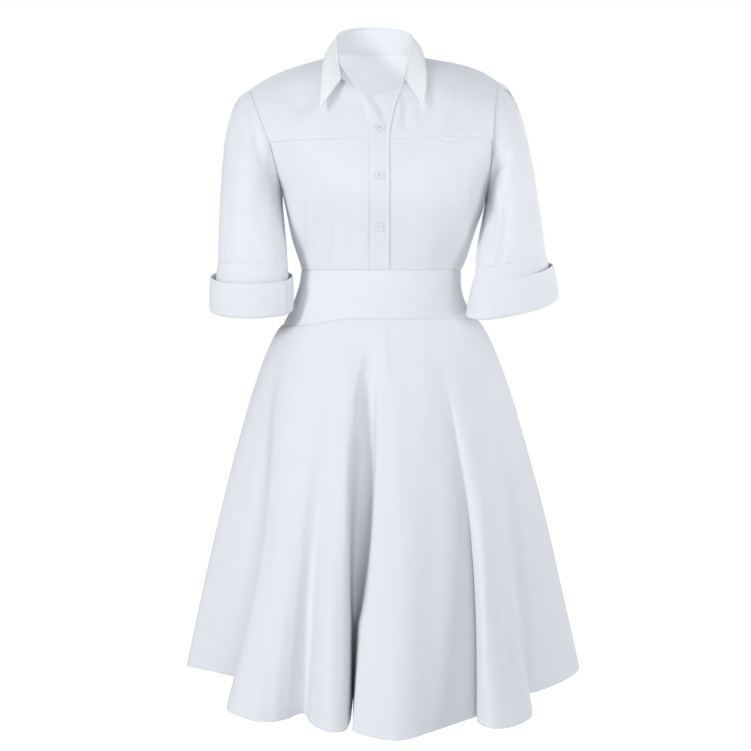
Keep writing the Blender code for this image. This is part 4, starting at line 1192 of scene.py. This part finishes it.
def cuff_paths(c):
    """Middle lines of a cuff's band, of the fold at its foot and of the layer inside: radius and level."""
    h, (wide, high) = DOUBLED / 2, CUFF_FOLD
    foot, z = c["half_foot"], c["z_foot"] + high
    bow = CUFF_BOW * np.sin(np.linspace(0, np.pi, 26))
    band = stack(np.linspace(c["half_top"] - h, foot - h, 26) + bow, np.linspace(c["z_top"], z, 26))
    turn = np.radians(np.linspace(0, 180, 11))[1:-1]
    bend = stack(foot - wide + np.cos(turn) * (wide - h), z - np.sin(turn) * (high - h))
    inside = stack(np.linspace(foot - 2 * wide + h, c["half_in"] - h, 24), np.linspace(z, c["z_seam"], 24))
    return band, bend, inside


def make_cuffs():
    """Turned-up cuffs, each one closed ring of cloth."""
    angles = np.linspace(0, 360, 161)[:-1]
    a = np.radians(angles)
    for side, name in SIDE_NAMES.items():
        node = f"cuff_{name}"
        c = CUFFS[side]
        band, bend, inside = cuff_paths(c)
        path = np.concatenate([band, bend, inside])
        loop = offset_profile(path, DOUBLED)
        inner = np.concatenate([np.zeros(len(band) + len(bend)), np.linspace(0, 1, len(inside))])
        inner = np.concatenate([inner, inner[::-1]])[:, None]
        half, level = loop[:, :1], loop[:, 1:]
        grid = cuff_ring(side, half, half + c["deep"] - c["half_foot"], level, angles + c["crease"], inner)
        spread = unit((grid - (c["x"], c["y"], 0)) * (1, 1, 0))
        near_band = clamp(1 - np.arange(len(loop))[:, None] / len(band))
        near_band = np.maximum(near_band, near_band[::-1])
        dents = creased(project(grid), CUFF_CREASES[side]) * clamp(-spread[..., 1] * 4)
        grid = grid + spread * ((waved(a, side, CUFF_WAVES) + dents) * near_band)[..., None]
        ids = wrapped(np.arange(len(loop) * len(angles)).reshape(len(loop), -1))
        faces = quads(ids, np.roll(ids, -1, axis=0))
        uv = stack(a * c["half_foot"], walked(loop)[:, None]).reshape(-1, 2)
        obj = build(f"{node}_cloth", grid.reshape(-1, 3), faces, cloth_of("cuff", 0.25, 17), uv, sharp=24)
        length, area = walked(path)[-1], patch_area(grid[:len(path)], True)
        width = max(walked(closed(grid[0]))[-1], area / length) * CUFF_EASE
        declare(obj, node, width, length, area)
        keep(node, grid[:len(band)], spread[:len(band)], wrap=True)


def make_collar():
    """The collar's stand, and its leaf folded over it."""
    base, roll, edge, up, out = collar_frame(edged(0, 1, 150, 430))
    rows = edged(0, 1, 18, 36)[:, None, None]
    foot = base + up * SEAM_GAP
    stand = foot + (roll - foot) * rows + out * (4 * rows * (1 - rows) * STAND_BOW)
    obj = shell("collar_stand_cloth", stand, stand - out * CLOTH, cloth_of("stand", 0.2, 19))
    measured(obj, "collar_stand", stand)
    mids = [roll + out * a + up * b for a, b in ROLL_STEPS]
    mid = [a + (b - a) * t for a, b in zip(mids[:-1], mids[1:]) for t in (0.0, 0.5)]
    fall = edge - mids[-1]
    hang = -unit(np.cross(fall, np.gradient(edge, axis=0)))
    for t in edged(0, 1, 26, 48):
        mid.append(mids[-1] + fall * t + hang * (4 * t * (1 - t) * LEAF_BOW - DOUBLED / 2))
    mid = np.array(mid)
    mid[1:-1] = (mid[:-2] + 2 * mid[1:-1] + mid[2:]) / 4
    face = turned_to(grid_normals(mid), hang)
    face[0] = up
    edges = borders(mid)
    near = np.minimum(np.minimum(edges["first"], edges["last"]), edges["foot"])
    half = DOUBLED / 2 * np.sqrt(np.maximum(1 - (1 - clamp(near / LEAF_ROUND)) ** 2, 0.12))
    half = (half - LEAF_DIP * bell(near - LEAF_STITCH, 0.7))[..., None]
    outer, inner = mid + face * half, mid - face * half
    # The leaf's cloth takes the brighter white: painted light for the light the leaf catches facing up.
    obj = shell("collar_leaf_cloth", outer[::-1], inner[::-1], cloth_of("collar", 0.2, 19, COLLAR_PAINTED_BRIGHT),
                run=cloth_run(mid)[::-1])
    measured(obj, "collar_leaf", outer)
    keep("collar_leaf", outer, face)


def make_pocket():
    """The lip of the pocket, which gapes a little below the yoke seam."""
    p = POCKET
    u = edged(p["u0"], p["u1"], 60, 50)
    grid = front(RIGHT, u, YOKE_V + np.linspace(p["v0"], p["v1"], 9)[:, None])
    normal = grid_normals(grid)
    t = np.linspace(0, 1, 9)[:, None]
    ends = np.sin(np.pi * (u - p["u0"]) / (p["u1"] - p["u0"])) ** 0.5
    lift = (p["gape"] * (1 - t) ** 1.4 + p["low"] * t) * ends + p["off"] + p["thick"]
    grid = grid + normal * lift[..., None]
    obj = shell("pocket_lip_cloth", grid, grid - normal * p["thick"], cloth_of("pocket", 0.2, 23))
    dress(obj, "pocket_lip")
    keep("pocket_lip", grid, normal)


def make_buttons(strip, strip_n, shine):
    """Turned buttons with four real holes and the thread that holds them."""
    r, t = BUTTON["radius"], BUTTON["thick"]
    lip, floor = r - BUTTON["rim"], t - BUTTON["dish"]
    profile = [(0, 0), (r - 1.0, 0), (r - 0.35, 0.2), (r - 0.05, 0.8), (r, 1.4), (r - 0.1, t - 0.45),
               (r - 0.35, t - 0.1), (r - 0.65, t), (lip, t - 0.08), (lip - 0.35, t - 0.4), (lip - 0.8, floor),
               (lip - 1.6, floor - 0.08), (0, floor - 0.1)]
    blank_verts, blank_faces = lathe(profile, 72)
    hole_verts, hole_faces = lathe([(0, -1), (BUTTON["hole"], -1), (BUTTON["hole"], 4), (0, 4)], 20)
    spots = [np.array([np.cos(a), np.sin(a), 0]) * BUTTON["spread"] for a in np.radians([45, 135, 225, 315])]
    column = strip.shape[1] // 2
    middle, middle_n = strip[:, column], strip_n[:, column]
    for number, level in enumerate(BUTTON_Z, 1):
        normal = unit(followed(-level, -middle[:, 2], middle_n))
        side = unit(np.cross((0, 0, 1), normal))
        axes = np.array([side, np.cross(normal, side), normal])
        start = followed(-level, -middle[:, 2], middle) + normal * BUTTON_LIFT
        blank = build(f"blank_{number}", blank_verts @ axes + start, blank_faces, shine)
        spare = [blank]
        for i, spot in enumerate(spots):
            cutter = build(f"cutter_{number}_{i}", (hole_verts + spot) @ axes + start, hole_faces, shine)
            cut = blank.modifiers.new(f"hole_{i}", "BOOLEAN")
            cut.operation, cut.solver, cut.object = "DIFFERENCE", "EXACT", cutter
            spare.append(cutter)
        bpy.context.view_layer.update()
        done = bpy.data.meshes.new_from_object(blank.evaluated_get(bpy.context.evaluated_depsgraph_get()))
        done.set_sharp_from_angle(angle=np.radians(40))
        for extra in spare:
            bpy.data.objects.remove(extra)
        dress(linked(f"button_{number}_turned", done), f"button_{number}")
        make_threads(number, spots, axes, start, floor)


def make_threads(number, spots, axes, start, level):
    """Two bars of two threads each, through the holes."""
    verts, faces = [], []
    turn = np.linspace(0, 1, 9)[:, None]
    angles = np.radians(np.arange(0, 360, 60))[:, None]
    across = np.array([0.0, 1.0, 0.0])
    for a, b in ((0, 1), (3, 2)):
        for shift in (-0.15, 0.15):
            path = spots[a] + across * shift + (spots[b] - spots[a]) * turn
            path[:, 2] = level - THREAD_DIP + THREAD_ARCH * np.sin(np.pi * turn[:, 0]) ** 0.45
            lift = np.cross(unit(np.gradient(path, axis=0)), across)
            loft(verts, faces, [p + (across * np.cos(angles) + out * np.sin(angles)) * THREAD_RADIUS
                                for p, out in zip(path, lift)])
    dress(build(f"button_{number}_thread", np.array(verts) @ axes + start, faces, THREAD))


def make_stitches():
    stitched("stitches_bodice", [
        line_at("placket_over", "first", 3.2, 0.32), line_at("placket_over", "last", 3.2, 0.2),
        line_at("front_yoke_right", "foot", 2.0), line_at("front_yoke_left", "foot", 2.0),
        line_at("pocket_lip", "foot", 1.2)])
    stitched("stitches_collar", [
        line_at("collar_leaf", "foot", LEAF_STITCH, 0.02, 0.98),
        line_at("collar_leaf", "first", LEAF_STITCH, 0.28, 0.86),
        line_at("collar_leaf", "last", LEAF_STITCH, 0.28, 0.86)])
    stitched("stitches_waistband", [line_at(f"waistband_{half}", side, 1.8)
                                    for half in ("front", "back") for side in ("top", "foot")])
    hem = [line_at(f"skirt_{half}", "foot", HEM_STITCH) for half in ("front", "back")]
    stitched("stitches_hem", hem, pitch=3.2, length=2.2)
    stitched("stitches_cuffs", [line_at(f"cuff_{name}", "top", 2.0) for name in SIDE_NAMES.values()])


# Studio


def area_light(name, place_m, aim_m, size, power):
    data = bpy.data.lights.new(name, "AREA")
    data.shape = "DISK"
    data.size, data.energy = size, power
    obj = linked(name, data)
    obj.location = place_m
    obj.rotation_euler = (Vector(aim_m) - Vector(place_m)).to_track_quat("-Z", "Y").to_euler()
    return obj


def make_studio():
    """A white studio whose backdrop shows brighter to the camera than it lights."""
    scene = bpy.context.scene
    scene.view_settings.view_transform = "Standard"
    scene.world = bpy.data.worlds.new("studio")
    scene.world.use_nodes = True
    tree = scene.world.node_tree
    sky = tree.nodes["Background"]
    fill(sky, {"Color": (0.95, 0.97, 1.0, 1), "Strength": 0.49})
    seen = add(tree, "Background", {"Color": (1, 1, 1, 1), "Strength": 1.0})
    rays = add(tree, "LightPath")
    mix = add(tree, "MixShader", (), {0: rays.outputs["Is Camera Ray"], 1: sky.outputs[0],
                                      2: seen.outputs[0]})
    tree.links.new(mix.outputs[0], tree.nodes["World Output"].inputs["Surface"])
    lamps = {name: area_light(name, *row) for name, *row in LAMPS}
    lamps["chest"].data.spread = np.radians(CHEST_SPREAD)
    lamps["inside"].visible_camera = False
    glow = {"Roughness": 0.9, "Emission Color": (1, 1, 1, 1), "Emission Strength": 0.7}
    material, tree, shader = material_of("floor_paint", glow)
    mottled(tree, shader, add(tree, "TexNoise", {"Scale": 3.0}), (0.96, 0.96, 0.96), 0.93 / 0.96)
    corners = [(x * FLOOR_HALF, y * FLOOR_HALF, FLOOR_Z) for x, y in ((-1, -1), (1, -1), (1, 1), (-1, 1))]
    floor = build("studio_floor", corners, [(0, 1, 2, 3)], material)
    floor.visible_diffuse = False


def make_camera():
    data = bpy.data.cameras.new("camera")
    data.sensor_fit, data.sensor_width = "HORIZONTAL", 36.0
    data.lens = VIEW["focal"] / VIEW["frame"] * data.sensor_width
    obj = linked("camera", data)
    obj.location = (VIEW["x"] * MM, VIEW["y"] * MM, VIEW["z"] * MM)
    obj.rotation_euler = (np.radians(90 - VIEW["tilt"]), 0, 0)
    bpy.context.scene.camera = obj


def main():
    make_camera()
    strip, strip_n = make_bodice()
    make_waistband()
    make_skirt()
    make_sleeves()
    make_cuffs()
    make_collar()
    make_pocket()
    make_buttons(strip, strip_n, plastic_material("button_shine", (0.82, 0.84, 0.87)))
    make_stitches()
    make_studio()
    bpy.context.view_layer.update()


main()
